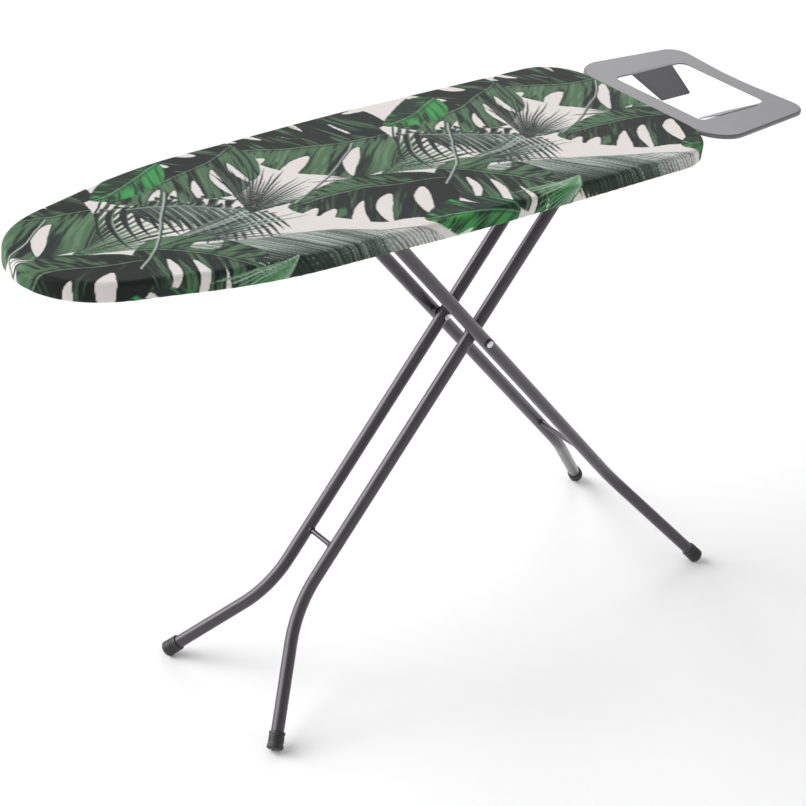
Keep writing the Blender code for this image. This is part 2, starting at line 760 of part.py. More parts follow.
def make_lever():
    """A toothed strip that turns on its pin: the grip goes up, the teeth go down, the rod is free."""
    parent = axis_empty("lever_axis", (0, LEVER_Y, LEVER_Z))
    half = LEVER_SHEET / 2
    tooth_y = TOOTH_Y - LEVER_Y
    tooth_top = TOOTH_TOP_Z - LEVER_Z
    flank = math.degrees(math.asin(half / KNUCKLE_RADIUS))
    knuckle = arc((0, 0), KNUCKLE_RADIUS, flank, 180 - flank, 6)
    below = arc((0, 0), KNUCKLE_RADIUS, 180 + flank, 360 - flank, 6)
    grip_end = GRIP_Y[1] - LEVER_Y - 0.002
    strip = (
        [(grip_end, -half), (grip_end, half)]
        + knuckle
        + [
            (tooth_y + 0.008, half),
            (tooth_y + LEVER_SHEET, -0.004),
            (tooth_y + LEVER_SHEET, tooth_top),
            (tooth_y, tooth_top),
            (tooth_y, -0.0056),
            (tooth_y + 0.0075, -half),
        ]
        + below
    )
    lever = finish("height_lever", prism(strip, LEVER_X[0], LEVER_X[1]), FRAME_PAINT, parent)
    bore = turned(
        ((LEVER_X[0] - 0.01, PIN_RADIUS + GAP), (LEVER_X[1] + 0.01, PIN_RADIUS + GAP)),
        (0, 0, 0),
        (1, 0, 0),
        12,
    )
    cut(lever, "lever_bore", bore, parent)
    notch_depth = 0.0058
    for number in range(5):
        x = SLIDE_X - NOTCH_PITCH * number
        shape = (
            (x - 0.0052, tooth_top + 0.002),
            (x + 0.0052, tooth_top + 0.002),
            (x + 0.0040, tooth_top - notch_depth),
            (x - 0.0040, tooth_top - notch_depth),
        )
        notch = prism(shape, tooth_y - 0.004, tooth_y + 0.0045, along="y")
        cut(lever, f"notch_{number + 1}", notch, parent)
    make_grip(parent, half)


def make_grip(parent, half):
    """A moulded sleeve on the lever's outer edge, rounded and hollow for the strip."""
    slack = half + GAP
    inner_y = GRIP_Y[0] - LEVER_Y
    outer_y = GRIP_Y[1] - LEVER_Y
    thick = 0.0042
    section = [(inner_y, 0.001 - thick), (inner_y, thick - 0.001), (inner_y + 0.001, thick)]
    section += arc((outer_y - thick, 0), thick, 90, -90, 6)
    section += [(inner_y + 0.001, -thick)]
    grip = prism(section, LEVER_X[0] + 0.012, LEVER_X[1] - 0.012)
    sleeve = finish("lever_grip", grip, BLACK_PLASTIC, parent)
    slot_end = outer_y - 0.002 + GAP
    corners = ((inner_y - 0.004, -slack), (slot_end, -slack), (slot_end, slack), (inner_y - 0.004, slack))
    cut(sleeve, "strip_slot", prism(corners, LEVER_X[0], LEVER_X[1]), parent)


# ---------------------------------------------------------------- build

def main():
    for obj in list(bpy.data.objects):
        bpy.data.objects.remove(obj, do_unlink=True)
    make_top()
    make_iron_rest()
    make_rest_arms()
    make_hinge_brackets()
    make_slide_rails()
    make_inner_frame()
    make_outer_frame()
    make_lever_brackets()
    make_lever_spring()
    make_lever()


main()
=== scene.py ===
"""Looks of the folding ironing board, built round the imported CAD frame. Metres, +Z up.

X runs along the board, nose at -X and iron rest at +X. The board stands open on the floor at z = 0.
"""

import json
import math

import bmesh
import bpy
import numpy as np
from mathutils import Matrix, Vector
from mathutils.geometry import delaunay_2d_cdt


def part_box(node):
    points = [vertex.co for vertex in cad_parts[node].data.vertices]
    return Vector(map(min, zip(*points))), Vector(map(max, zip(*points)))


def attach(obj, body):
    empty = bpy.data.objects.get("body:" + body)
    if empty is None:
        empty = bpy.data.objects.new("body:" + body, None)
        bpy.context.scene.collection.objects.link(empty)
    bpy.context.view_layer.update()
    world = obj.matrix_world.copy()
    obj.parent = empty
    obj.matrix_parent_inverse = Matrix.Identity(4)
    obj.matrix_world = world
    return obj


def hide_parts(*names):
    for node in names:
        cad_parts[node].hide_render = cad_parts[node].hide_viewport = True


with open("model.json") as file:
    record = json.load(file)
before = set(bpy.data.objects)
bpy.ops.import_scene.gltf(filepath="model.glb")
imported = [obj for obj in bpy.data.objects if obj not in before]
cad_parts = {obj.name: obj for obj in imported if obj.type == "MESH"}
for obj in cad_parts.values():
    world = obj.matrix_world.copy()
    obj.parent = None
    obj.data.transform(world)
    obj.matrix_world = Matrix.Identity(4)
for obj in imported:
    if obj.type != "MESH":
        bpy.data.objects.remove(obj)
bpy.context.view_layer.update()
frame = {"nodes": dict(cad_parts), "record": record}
NODES = frame["nodes"]
JOINTS = {j["name"]: j for j in frame["record"]["behaviour"]["joints"]}

# ---- sizes, from the frame

COVER_LOW, COVER_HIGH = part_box("fabric_cover")
NOSE_X = COVER_LOW.x
TAIL_X = COVER_HIGH.x
BOARD_LENGTH = TAIL_X - NOSE_X
HALF_WIDTH = COVER_HIGH.y
BOARD_TOP = COVER_HIGH.z
SKIRT_Z = COVER_LOW.z
HINGE = Vector(JOINTS["fold"]["pos_m"])
PIVOT = Vector(JOINTS["scissor"]["pos_m"])
ROD_LOW, ROD_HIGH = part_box("slide_rod")
SLIDE = (ROD_LOW + ROD_HIGH) / 2
SIDES = (("near", -1), ("far", 1))


# ---- camera, light and floor

CAMERA_PLACE = (-1.7709, -1.8518, 1.9835)
CAMERA_TURN = (-43.814, 31.069, 6.674)  # azimuth, elevation and roll, in degrees
CAMERA_LENS = 88.5  # mm, over a sensor 36 mm wide
BACKDROP = (0.72, 0.29)  # strength at the horizon and straight up
FLOOR_REACH = 40
SUNS = (  # name, the place it shines from, power, width in degrees
    ("key", (-2.0, 1.25, 2.0), 1.7, 48),
    ("side", (-2.0, 3.1, 1.6), 1.9, 46),
    ("fill", (2.2, -2.4, 1.8), 0.12, 40),
    ("rim", (2.3, 2.4, 2.2), 0.55, 30),
)


def new_object(name, data):
    made = bpy.data.objects.new(name, data)
    bpy.context.scene.collection.objects.link(made)
    return made


def make_camera():
    """The view along the board from beyond the nose, on its near side."""
    azimuth, elevation, roll = (math.radians(angle) for angle in CAMERA_TURN)
    flat = math.cos(elevation)
    back = Vector((math.sin(azimuth) * flat, -math.cos(azimuth) * flat, math.sin(elevation)))
    level = (-back).cross(Vector((0, 0, 1))).normalized()
    upright = level.cross(-back)
    right = math.cos(roll) * level + math.sin(roll) * upright
    up = -math.sin(roll) * level + math.cos(roll) * upright
    data = bpy.data.cameras.new("camera")
    data.lens = CAMERA_LENS
    data.sensor_width = 36
    camera = new_object("camera", data)
    turn = Matrix((right, up, back)).transposed().to_4x4()
    camera.matrix_world = Matrix.Translation(CAMERA_PLACE) @ turn
    bpy.context.scene.camera = camera


def make_studio():
    """Four wide, soft lights, a backdrop that dims upwards, and a pale floor."""
    world = bpy.data.worlds.new("studio")
    world.use_nodes = True
    nodes, links = world.node_tree.nodes, world.node_tree.links
    background = nodes["Background"]
    background.inputs["Color"].default_value = (1, 1, 1, 1)
    where = nodes.new("ShaderNodeTexCoord")
    parts = nodes.new("ShaderNodeSeparateXYZ")
    rise = nodes.new("ShaderNodeMapRange")
    rise.inputs["To Min"].default_value, rise.inputs["To Max"].default_value = BACKDROP
    links.new(where.outputs["Generated"], parts.inputs["Vector"])
    links.new(parts.outputs["Z"], rise.inputs["Value"])
    links.new(rise.outputs["Result"], background.inputs["Strength"])
    bpy.context.scene.world = world
    bpy.context.scene.view_settings.view_transform = "Standard"
    bpy.context.scene.view_settings.look = "None"
    for name, place, power, width in SUNS:
        data = bpy.data.lights.new(name, "SUN")
        data.energy = power
        data.angle = math.radians(width)
        light = new_object(name, data)
        light.rotation_euler = (-Vector(place)).to_track_quat("-Z", "Y").to_euler()
    mesh = bpy.data.meshes.new("floor")
    turns = ((-1, -1), (1, -1), (1, 1), (-1, 1))
    corners = [(FLOOR_REACH * x, FLOOR_REACH * y, 0) for x, y in turns]
    mesh.from_pydata(corners, [], [(0, 1, 2, 3)])
    pale = Look("floor", (0.93, 0.93, 0.93), roughness=0.9, Specular_IOR_Level=0.1)
    mesh.materials.append(pale.material)
    floor = new_object("floor", mesh)


# ---- the cloth's print

# Inks, 0 to 255 sRGB
GROUND = (229, 223, 219)
NIGHT = (26, 34, 31)
DARK = (38, 52, 44)
DEEP = (50, 76, 54)
LEAF = (72, 108, 74)
FRESH = (66, 140, 74)
BRIGHT = (58, 164, 82)
DUSTY = (116, 134, 120)
MIST = (168, 184, 174)
PALE = (196, 208, 198)

# Each leaf's dark, middle and light ink
FOREST = (NIGHT, (78, 110, 80), (112, 146, 110))
SHADOW = (NIGHT, DARK, DEEP)
SPRING = (DARK, FRESH, BRIGHT)
FEATHER = (NIGHT, DUSTY, PALE)
REED = (NIGHT, DARK, MIST)
FERN = (NIGHT, DEEP, PALE)

REPEAT = (0.497, 0.500)  # the print's repeat along and across the board
SOFT_EDGE = 0.0008  # how soft the print's edges are
STALK_REACH = 0.12  # how far from its bend a stalk ends
LATTICE = np.random.default_rng(7).random((64, 64))


def pick(i, j):
    """Fixed random numbers, 0 to 1."""
    return LATTICE[i % 64, j % 64]


def noise(u, v):
    """Smooth value noise of about one feature per unit."""
    i, j = np.floor(u).astype(int), np.floor(v).astype(int)
    f, g = u - i, v - j
    f, g = f * f * (3 - 2 * f), g * g * (3 - 2 * g)
    near = pick(i, j) * (1 - f) + pick(i + 1, j) * f
    return near * (1 - g) + (pick(i, j + 1) * (1 - f) + pick(i + 1, j + 1) * f) * g


def step(value, soft=SOFT_EDGE):
    """0 below zero, 1 above it, with a soft width."""
    return np.clip(value / soft + 0.5, 0, 1)


def ridge(value, width, middle=0.0):
    """1 at the middle, falling off over the width on either side."""
    return np.exp(-(((value - middle) / width) ** 2))


def blend(a, b, share):
    return a + (b - a) * np.clip(share, 0, 1)[:, None]


def tints(tones, count):
    """The dark ink for every point, and then all three inks."""
    low, mid, high = (np.array(tone, float) for tone in tones)
    return np.ones((count, 1)) * low, low, mid, high


def local(points, base, degrees, length, curve):
    """Coordinates along and across a leaf, in metres; its midrib bows by curve times its length."""
    d = points - base
    c, s = math.cos(math.radians(degrees)), math.sin(math.radians(degrees))
    a = d[:, 0] * c + d[:, 1] * s
    b = -d[:, 0] * s + d[:, 1] * c
    share = a / length
    return a, b - curve * length * 4 * share * (1 - share)


def drops(a, b, holes):
    """How deep each point lies in teardrop holes: (a0, b0, a1, b1, width, bow, open end)."""
    depth = np.full(len(a), -1.0)
    for a0, b0, a1, b1, width, bow, opened in holes:
        reach = math.hypot(a1 - a0, b1 - b0)
        ux, uy = (a1 - a0) / reach, (b1 - b0) / reach
        s = ((a - a0) * ux + (b - b0) * uy) / reach
        d = (b - b0) * ux - (a - a0) * uy - bow * reach * 4 * s * (1 - s)
        r = np.clip(s, 0, 1)
        if opened:
            shape = np.sqrt(np.clip(r * 2.2, 0, 1)) * (0.62 + 0.38 * r)
        else:
            shape = np.sqrt(np.clip(r * 3, 0, 1)) * np.sqrt(np.clip((1 - r) * 2.2, 0, 1))
        inside = width / 2 * shape - np.abs(d)
        inside = np.where((s < 0) | (s > (1.6 if opened else 1)), -1.0, inside)
        depth = np.maximum(depth, inside)
    return depth


def monstera(
    points, base, degrees, length, widths, tones, curve, slits, seed, gape, green, ripe=0.0
):
    """A broad leaf, split between its veins by long teardrops.

    Its two sides differ in width, in their number of slits and in how green they are. Gape widens
    the slits, and a ripe leaf is greener towards its tip.
    """
    a, b = local(points, base, degrees, length, curve)
    share = np.clip((a / length + 0.07) / 1.07, 1e-4, 1 - 1e-4)
    left = b > 0
    width = np.where(left, *widths)
    half = width * np.sin(np.pi * share**0.70) ** 0.62 * (1 + 0.03 * np.sin(share * 19 + seed))
    out = np.abs(b) / np.maximum(half, 1e-4)
    holes = []
    for hand, count, span in zip((1, -1), slits, widths):
        for k in range(count):
            one = pick(k * 7 + seed * 13 + hand * 5, seed * 3)
            two = pick(k * 3 + seed * 5 + hand * 11, seed * 7 + 9)
            slot = (k + 0.5) / count
            along = (0.04 + 0.80 * (k + 0.5 + 0.3 * (one - 0.5)) / count) * length
            lean = math.radians(72 - 38 * slot + 8 * (two - 0.5))
            start = (0.17 + 0.16 * one) * span
            stop = (0.98 + 0.14 * two) * span * math.sin(math.pi * (0.25 + 0.6 * slot)) ** 0.4
            a0 = along + start / math.tan(lean)
            a1 = a0 + (stop - start) / math.tan(lean)
            wide = gape * (0.65 + 0.35 * two) * 0.36 * length / count
            holes.append((a0, hand * start, a1, hand * stop, wide, -hand * 0.08, two > 0.75))
    hole = drops(a, b, holes)
    within = (a > -0.07 * length) & (a < length)
    cover = step((1 - out) * half) * (1 - step(hole)) * within
    vein = (a - 0.75 * np.abs(b)) / length * 9
    brush = 0.55 * noise(vein * 1.5 + 9 * left, out * 1.5 + seed)
    brush += 0.45 * noise(vein * 5 + 5, out * 3 - seed)
    streak = noise(vein * 8 + seed, out * 2.2 + 7 * left)
    lush = np.clip(np.where(left, *green) + ripe * (share - 0.5), 0, 1)
    colour, low, mid, high = tints(tones, len(a))
    colour = blend(colour, mid, step(brush - 0.75 + 0.5 * lush, 0.16))
    colour = blend(colour, high, 0.75 * lush * step(streak - 0.72, 0.16))
    colour = blend(colour, low, 0.75 * step(0.25 - streak, 0.12))
    colour = blend(colour, low * 0.9, 0.6 * np.clip(1 + hole / 0.004, 0, 1) * (hole < 0))
    colour = blend(colour, low * 0.75, 0.6 * ridge(np.abs(b), 0.0016, 0.003))
    rib = ridge(b, 0.0011) * (a / length < 0.9)
    return cover, blend(colour, 0.55 * high + 0.45 * np.array(MIST), 0.65 * rib)


def frond(
    points, base, degrees, length, widths, tones,
    curve, leaflets, seed, sweep=1.0, fill=0.9, split=0.5, fade=0.0, hook=0.55,
):
    """A feathered leaf of bent leaflets, each dark on one side and pale on the other.

    Sweep leans the leaflets and hook bends them, fill is their width, split is where they part, and
    fade turns their roots pale and their tips dark.
    """
    a, b = local(points, base, degrees, length, curve)
    left = b > 0
    width = np.where(left, *widths)
    reach = np.abs(b)
    root = (a - sweep * reach + hook * sweep * reach**2 / np.maximum(width, 0.02)) / length
    q = root * leaflets + 0.5 * left
    index = np.floor(q)
    off = q - index - 0.5
    code = index.astype(int) * 11 + seed * 17 + left * 29
    size, tone = pick(code, seed * 5 + 1), pick(code, seed * 5 + 9)
    envelope = np.sin(np.pi * np.clip(root * 0.90 + 0.08, 1e-4, 1 - 1e-4)) ** 0.55
    out = reach / np.maximum(width * envelope * (0.80 + 0.3 * size), 1e-4)
    thick = fill * 0.5 * (1 - np.clip((out - split) / (1.02 - split), 0, 1) ** 1.3)
    thick = thick * (1 + fade * np.clip(1.2 - 1.9 * root, -0.55, 0.6))
    body = step((thick - np.abs(off)) * length / leaflets * 0.8)
    cover = body * (out < 1.02) * (root > 0) * (root < 1)
    colour, low, mid, high = tints(tones, len(a))
    grain = noise(q * 5.3, out * 2.5 + seed) - 0.5
    colour = blend(colour, mid, (off + 0.35) * 1.1 * (0.25 + tone) + grain * 0.7)
    line = ridge(off, 0.07 + 0.10 * (1 - fade) * np.clip(out, 0, 1), 0.24)
    colour = blend(colour, high, line * (0.35 + 0.75 * size) + grain * 0.25)
    colour = blend(colour, low, 0.55 * (1 - fade) * np.clip(1 - out * 2.6, 0, 1))
    colour = blend(colour, high, fade * step(0.36 - out + 0.6 * grain, 0.45) * (0.35 + 0.6 * tone))
    dusk = 0.6 * low + 0.4 * np.array(DEEP)
    colour = blend(colour, dusk, 0.92 * fade * step(out - 0.46 + 0.7 * grain, 0.35))
    rib = ridge(reach, 0.0014) * (a > 0) * (a < 0.97 * length)
    return np.maximum(cover, rib), blend(colour, 0.6 * high + 0.4 * mid, rib)


def blade(points, base, degrees, length, width, tones, curve, seed, cuts):
    """A long leaf with broad brush marks along its veins, torn in a few places."""
    a, b = local(points, base, degrees, length, curve)
    share = np.clip(a / length, 1e-4, 1 - 1e-4)
    half = 0.5 * width * np.sin(np.pi * share**0.8) ** 0.62
    side = np.where(b > 0, 1.0, -1.0)
    out = np.abs(b) / np.maximum(half, 1e-4)
    q = (a - 0.9 * np.abs(b)) / length * 9
    brush = 0.55 * noise(q * 2.1 + 7 * side, out * 1.4 + seed)
    brush += 0.45 * noise(q * 6.3 + seed, out * 2.2)
    colour, low, mid, high = tints(tones, len(a))
    colour = blend(colour, mid, (brush - 0.38 + 0.13 * side) * 3.2)
    colour = blend(colour, high, (brush - 0.60 + 0.05 * side) * 4.0)
    colour = blend(colour, low * 0.75, 0.5 * ridge(np.abs(b), 0.002, 0.003))
    colour = blend(colour, 0.5 * high + 0.5 * np.array(MIST), 0.75 * ridge(b, 0.0013))
    holes = []
    for hand in (1, -1):
        for k in range(cuts):
            one = pick(k * 5 + seed * 3 + hand * 17, seed + 40)
            along = (0.15 + 0.62 * (k + 0.7 * one) / cuts) * length
            start, stop = (0.20 + 0.12 * one) * width, 0.56 * width
            ends = (along + start, hand * start, along + 1.5 * stop, hand * stop)
            holes.append((*ends, 0.010 + 0.008 * one, 0.05, True))
    hole = drops(a, b, holes)
    return step((1 - out) * half) * (1 - step(hole)) * (a > 0) * (a < length), colour


def tuft(points, base, degrees, length, spread, tones, seed, spikes):
    """A fan of fine spikes from one point, spread over an angle in radians."""
    d = points - base
    r = np.hypot(d[:, 0], d[:, 1])
    turn = np.arctan2(d[:, 1], d[:, 0]) - math.radians(degrees)
    turn = (turn + np.pi) % (2 * np.pi) - np.pi
    bow = turn / (1 + 0.30 * r / length)
    q = bow / spread * spikes
    index = np.floor(q)
    off = q - index - 0.5
    code = index.astype(int) * 19 + seed * 7
    size, tone = pick(code, seed + 21), pick(code, seed + 33)
    out = r / (length * (0.60 + 0.40 * size))
    thick = 0.62 * np.clip(1 - out**1.5, 0, 1)
    cover = np.maximum(step((thick - np.abs(off)) * r * spread / spikes), r < 0.012 + 0.016 * size)
    cover = cover * (out < 1) * (np.abs(bow) < spread / 2)
    colour, _, mid, high = tints(tones, len(r))
    colour = blend(colour, mid, tone * 1.3 + off * 0.8)
    return cover, blend(colour, high, (tone - 0.5) * 1.6 * out + off * 0.6)


def stalk(points, base, bend, length, tip, width, tones):
    """A thin stem, pale on one side, that bows towards bend; bend and tip are from its base.

    Only paint uses the length, to find the points near the stem.
    """
    bend, tip = base + bend, base + tip
    best = np.full(len(points), 9.0)
    signed = np.zeros(len(points))
    for s in np.arange(41) / 40:
        here = (1 - s) ** 2 * base + 2 * s * (1 - s) * bend + s * s * tip
        along = 2 * (1 - s) * (bend - base) + 2 * s * (tip - bend)
        along = along / np.hypot(*along)
        d = points - here
        across = d[:, 0] * -along[1] + d[:, 1] * along[0]
        far = np.hypot(np.maximum(np.abs(d @ along) - 0.004, 0), across)
        signed = np.where(far < best, across, signed)
        best = np.minimum(best, far)
    cover = step(width / 2 - best) * (np.hypot(*(points - bend).T) < STALK_REACH)
    colour, _, _, high = tints(tones, len(best))
    return cover, blend(colour, high, 0.5 + signed / width * 1.6)


# The repeat's leaves from back to front: shape, base, (degrees, length, width or spread, inks) and
# the shape's own settings. A stalk has (bend, length, tip, width, inks). Lengths are in metres.
LEAVES = (
    (tuft, (0.598, -0.016), (11, 0.235, 0.95, (DARK, LEAF, MIST)), dict(seed=5, spikes=15)),
    (tuft, (0.600, -0.030), (168, 0.125, 0.50, REED), dict(seed=12, spikes=8)),
    (frond, (0.165, 0.062), (-14, 0.220, (0.012, 0.115), REED),
     dict(curve=0.10, leaflets=11, seed=5, split=0.10, fill=0.62, sweep=-0.6, hook=0.8)),
    (frond, (0.232, 0.056), (-32, 0.190, (0.016, 0.098), FERN),
     dict(curve=0.07, leaflets=16, seed=8, fill=0.85, split=0.4, sweep=0.75, fade=0.4)),
    (tuft, (0.220, -0.046), (2, 0.215, 0.40, FEATHER), dict(seed=7, spikes=9)),
    (tuft, (0.236, -0.052), (-6, 0.160, 0.45, REED), dict(seed=3, spikes=9)),
    (monstera, (0.555, 0.205), (-31, 0.185, (0.080, 0.070), SHADOW),
     dict(curve=0.06, slits=(4, 3), seed=14, gape=0.8, green=(0.1, 0.1))),
    (monstera, (0.674, 0.080), (165, 0.228, (0.108, 0.105), FOREST),
     dict(curve=0.03, slits=(3, 5), seed=6, gape=1.15, green=(0.8, 0.2))),
    (monstera, (0.455, 0.145), (194, 0.240, (0.086, 0.085), FOREST),
     dict(curve=0.05, slits=(6, 4), seed=12, gape=1.0, green=(0.7, 0.15))),
    (blade, (0.345, 0.150), (200, 0.145, 0.072, SPRING), dict(curve=0.05, seed=9, cuts=0)),
    (tuft, (0.366, -0.030), (38, 0.165, 1.20, REED), dict(seed=4, spikes=26)),
    (frond, (0.205, -0.058), (-20, 0.390, (0.0005, 0.155), FERN),
     dict(curve=0.04, leaflets=38, seed=11, sweep=1.75, hook=0.38, fill=1.0, fade=1.0)),
    (monstera, (0.190, -0.050), (-52, 0.200, (0.052, 0.100), FOREST),
     dict(curve=0.10, slits=(2, 5), seed=1, gape=1.1, green=(0.7, 0.35))),
    (monstera, (0.652, -0.066), (174, 0.236, (0.104, 0.036), FOREST),
     dict(curve=-0.05, slits=(5, 0), seed=2, gape=1.7, green=(0.25, 0.6), ripe=0.9)),
    (tuft, (0.352, -0.150), (208, 0.150, 0.80, (FRESH, MIST, PALE)), dict(seed=9, spikes=12)),
    (blade, (0.710, -0.195), (166, 0.155, 0.085, SPRING), dict(curve=-0.05, seed=10, cuts=2)),
    (stalk, (0.165, -0.085), ((0.075, 0.055), 0.234, (0.153, 0.177), 0.0052, FEATHER), {}),
    (stalk, (0.440, -0.032), ((0.100, 0.042), 0.213, (0.182, 0.110), 0.0042, FEATHER), {}),
)


def wander(points, k):
    """How far the print strays at points, in metres: a slow drift and a fine tremble."""
    x, y = points.T
    drift = 0.0090 * (noise(x * 19 + k, y * 19 - k) - 0.5)
    return drift + 0.0012 * (noise(x * 90 - k, y * 90 + k) - 0.5)


def paint(points):
    """The colour, 0 to 255 sRGB, of the cloth at flat points from the board's nose, in metres."""
    colour = np.ones((len(points), 1)) * np.array(GROUND, float)
    points = points + np.stack([wander(points, 3.1), wander(points, 17.7)], 1)
    first = math.floor(points[:, 0].min() / REPEAT[0]) - 2
    last = math.ceil(points[:, 0].max() / REPEAT[0])
    moves = [np.array(REPEAT) * (i, j) for i in range(first, last + 1) for j in (-1, 0, 1)]
    for shape, base, spec, more in LEAVES:
        for move in moves:
            near = np.hypot(*(points - base - move).T) < 1.3 * spec[1]
            if near.any():
                cover, tint = shape(points[near], base + move, *spec, **more)
                colour[near] = blend(colour[near], tint, cover)
    return colour


# ---- materials

class Look:
    """A Principled material, and the nodes that texture it."""

    def __init__(self, name, colour, metallic=0.0, roughness=0.5, **sockets):
        """Sockets are other inputs by name, with _ for a space."""
        self.material = bpy.data.materials.new(name)
        self.material.use_nodes = True
        self.tree = self.material.node_tree
        self.shader = self.tree.nodes["Principled BSDF"]
        sockets |= {"Base_Color": (*colour, 1), "Metallic": metallic, "Roughness": roughness}
        for key, value in sockets.items():
            self.shader.inputs[key.replace("_", " ")].default_value = value

    def node(self, kind, inputs, **settings):
        """Add a node: inputs are values or (node, output) pairs by socket name or number."""
        made = self.tree.nodes.new("ShaderNode" + kind)
        for key, value in settings.items():
            setattr(made, key, value)
        for key, value in inputs.items():
            if isinstance(value, tuple) and hasattr(value[0], "outputs"):
                self.tree.links.new(value[0].outputs[value[1]], made.inputs[key])
            else:
                made.inputs[key].default_value = value
        return made

    def noise(self, scale, detail=3.0, roughness=0.5, stretch=(1, 1, 1)):
        """Noise in object space, features per metre."""
        where = self.node("TexCoord", {})
        moved = self.node("Mapping", {"Vector": (where, "Object"), "Scale": stretch})
        inputs = {"Vector": (moved, 0), "Scale": scale, "Detail": detail, "Roughness": roughness}
        return self.node("TexNoise", inputs)

    def ramp(self, source, *stops):
        """A colour ramp over a value; stops are (position, colour)."""
        made = self.node("ValToRGB", {"Fac": (source, 0)})
        steps = made.color_ramp.elements
        while len(steps) < len(stops):
            steps.new(0.5)
        for element, (position, colour) in zip(steps, stops):
            element.position = position
            element.color = (*colour, 1)
        return made

    def span(self, source, low, high, output=0):
        """Stretch a 0 to 1 value to low to high."""
        return self.node("MapRange", {"Value": (source, output), "To Min": low, "To Max": high})

    def bump(self, height, strength, distance, under=None):
        inputs = {"Height": (height, 0), "Strength": strength, "Distance": distance}
        if under is not None:
            inputs["Normal"] = (under, "Normal")
        return self.node("Bump", inputs)

    def finish(self, tint, normal, roughness=None):
        """Join up the textured inputs, and give the material."""
        for socket, source in (("Base Color", tint), ("Normal", normal), ("Roughness", roughness)):
            if source is not None:
                self.tree.links.new(source.outputs[0], self.shader.inputs[socket])
        return self.material


def shaded(colour, factor):
    return tuple(channel * factor for channel in colour)


def powder_coat(name, colour, metallic, roughness, fleck):
    """Baked powder paint: fine orange peel, a metallic fleck and slightly uneven gloss."""
    look = Look(name, colour, metallic, roughness, Coat_Weight=0.25, Coat_Roughness=0.16)
    cloud = look.noise(22, 4)
    specks = look.node("TexVoronoi", {"Scale": 2600.0})
    glint = look.span(specks, 1 - fleck, 1 + fleck, "Color")
    tone = look.ramp(cloud, (0.3, shaded(colour, 0.95)), (0.7, shaded(colour, 1.05)))
    tint = look.node("VectorMath", {0: (tone, "Color"), 1: (glint, 0)}, operation="MULTIPLY")
    peel = look.bump(look.noise(620, 2), 0.12, 0.0004)
    return look.finish(tint, peel, look.span(cloud, roughness - 0.05, roughness + 0.07))


def plated_steel(name, colour, roughness, stretch):
    """Zinc plate or drawn wire: fine lines along the stretch's long way, and dull patches."""
    look = Look(name, colour, 1.0, roughness)
    patches = look.noise(60, 4)
    tone = look.ramp(patches, (0.25, shaded(colour, 0.8)), (0.75, shaded(colour, 1.1)))
    lines = look.bump(look.noise(900, 3, 0.6, stretch), 0.15, 0.0002)
    return look.finish(tone, lines, look.span(patches, roughness - 0.06, roughness + 0.12))


def moulded_plastic(name, colour, roughness):
    """Injection-moulded plastic with a fine spark-eroded grain and rub marks."""
    look = Look(name, colour, 0.0, roughness)
    scuffs = look.noise(90, 5, 0.7)
    worn = tuple(min(1.0, c * 1.5 + 0.012) for c in colour)
    tone = look.ramp(scuffs, (0.45, colour), (0.8, worn))
    grain = look.bump(look.noise(1500, 2), 0.25, 0.0003)
    return look.finish(tone, grain, look.span(scuffs, roughness - 0.06, roughness + 0.16))


def felt_fibre(name):
    """Needled felt: matted fibres over soft lumps."""
    look = Look(name, (0.70, 0.69, 0.66), 0.0, 0.95, Sheen_Weight=0.3)
    lumps = look.noise(140, 5, 0.7)
    light, lighter = (0.72, 0.71, 0.68), (0.80, 0.79, 0.77)
    tone = look.ramp(lumps, (0.3, (0.58, 0.57, 0.54)), (0.5, light), (0.75, lighter))
    soft = look.bump(lumps, 0.5, 0.0016)
    fibres = look.noise(1400, 4, 0.8, (1.0, 0.35, 1.0))
    return look.finish(tone, look.bump(fibres, 0.6, 0.0008, soft))


def printed_cotton(name):
    """Plain-weave cotton: the print from the mesh, broken up by threads, with a soft finish."""
    sheen = {"Sheen_Weight": 0.04, "Sheen_Roughness": 0.4, "Specular_IOR_Level": 0.16}
    look = Look(name, (0.5, 0.5, 0.5), 0.0, 0.72, **sheen)
    ink = look.node("Attribute", {}, attribute_name="print")
    threads = {"Vector": (look.node("TexCoord", {}), "Object"), "Distortion": 0.6, "Detail": 1.0}
    warp = look.node("TexWave", {**threads, "Scale": 380.0}, bands_direction="X")
    weft = look.node("TexWave", {**threads, "Scale": 420.0}, bands_direction="Y")
    weave = look.node("Math", {0: (warp, "Fac"), 1: (weft, "Fac")}, operation="MAXIMUM")
    slub = look.noise(260, 4, 0.6, (0.25, 1.6, 1.0))
    light, thread = look.span(slub, 0.93, 1.07), look.span(weave, 0.95, 1.03)
    both = look.node("Math", {0: (light, 0), 1: (thread, 0)}, operation="MULTIPLY")
    tint = look.node("VectorMath", {0: (ink, "Color"), 1: (both, 0)}, operation="MULTIPLY")
    soft = look.bump(slub, 0.10, 0.0006)
    return look.finish(tint, look.bump(weave, 0.22, 0.0002, soft), look.span(slub, 0.56, 0.70))


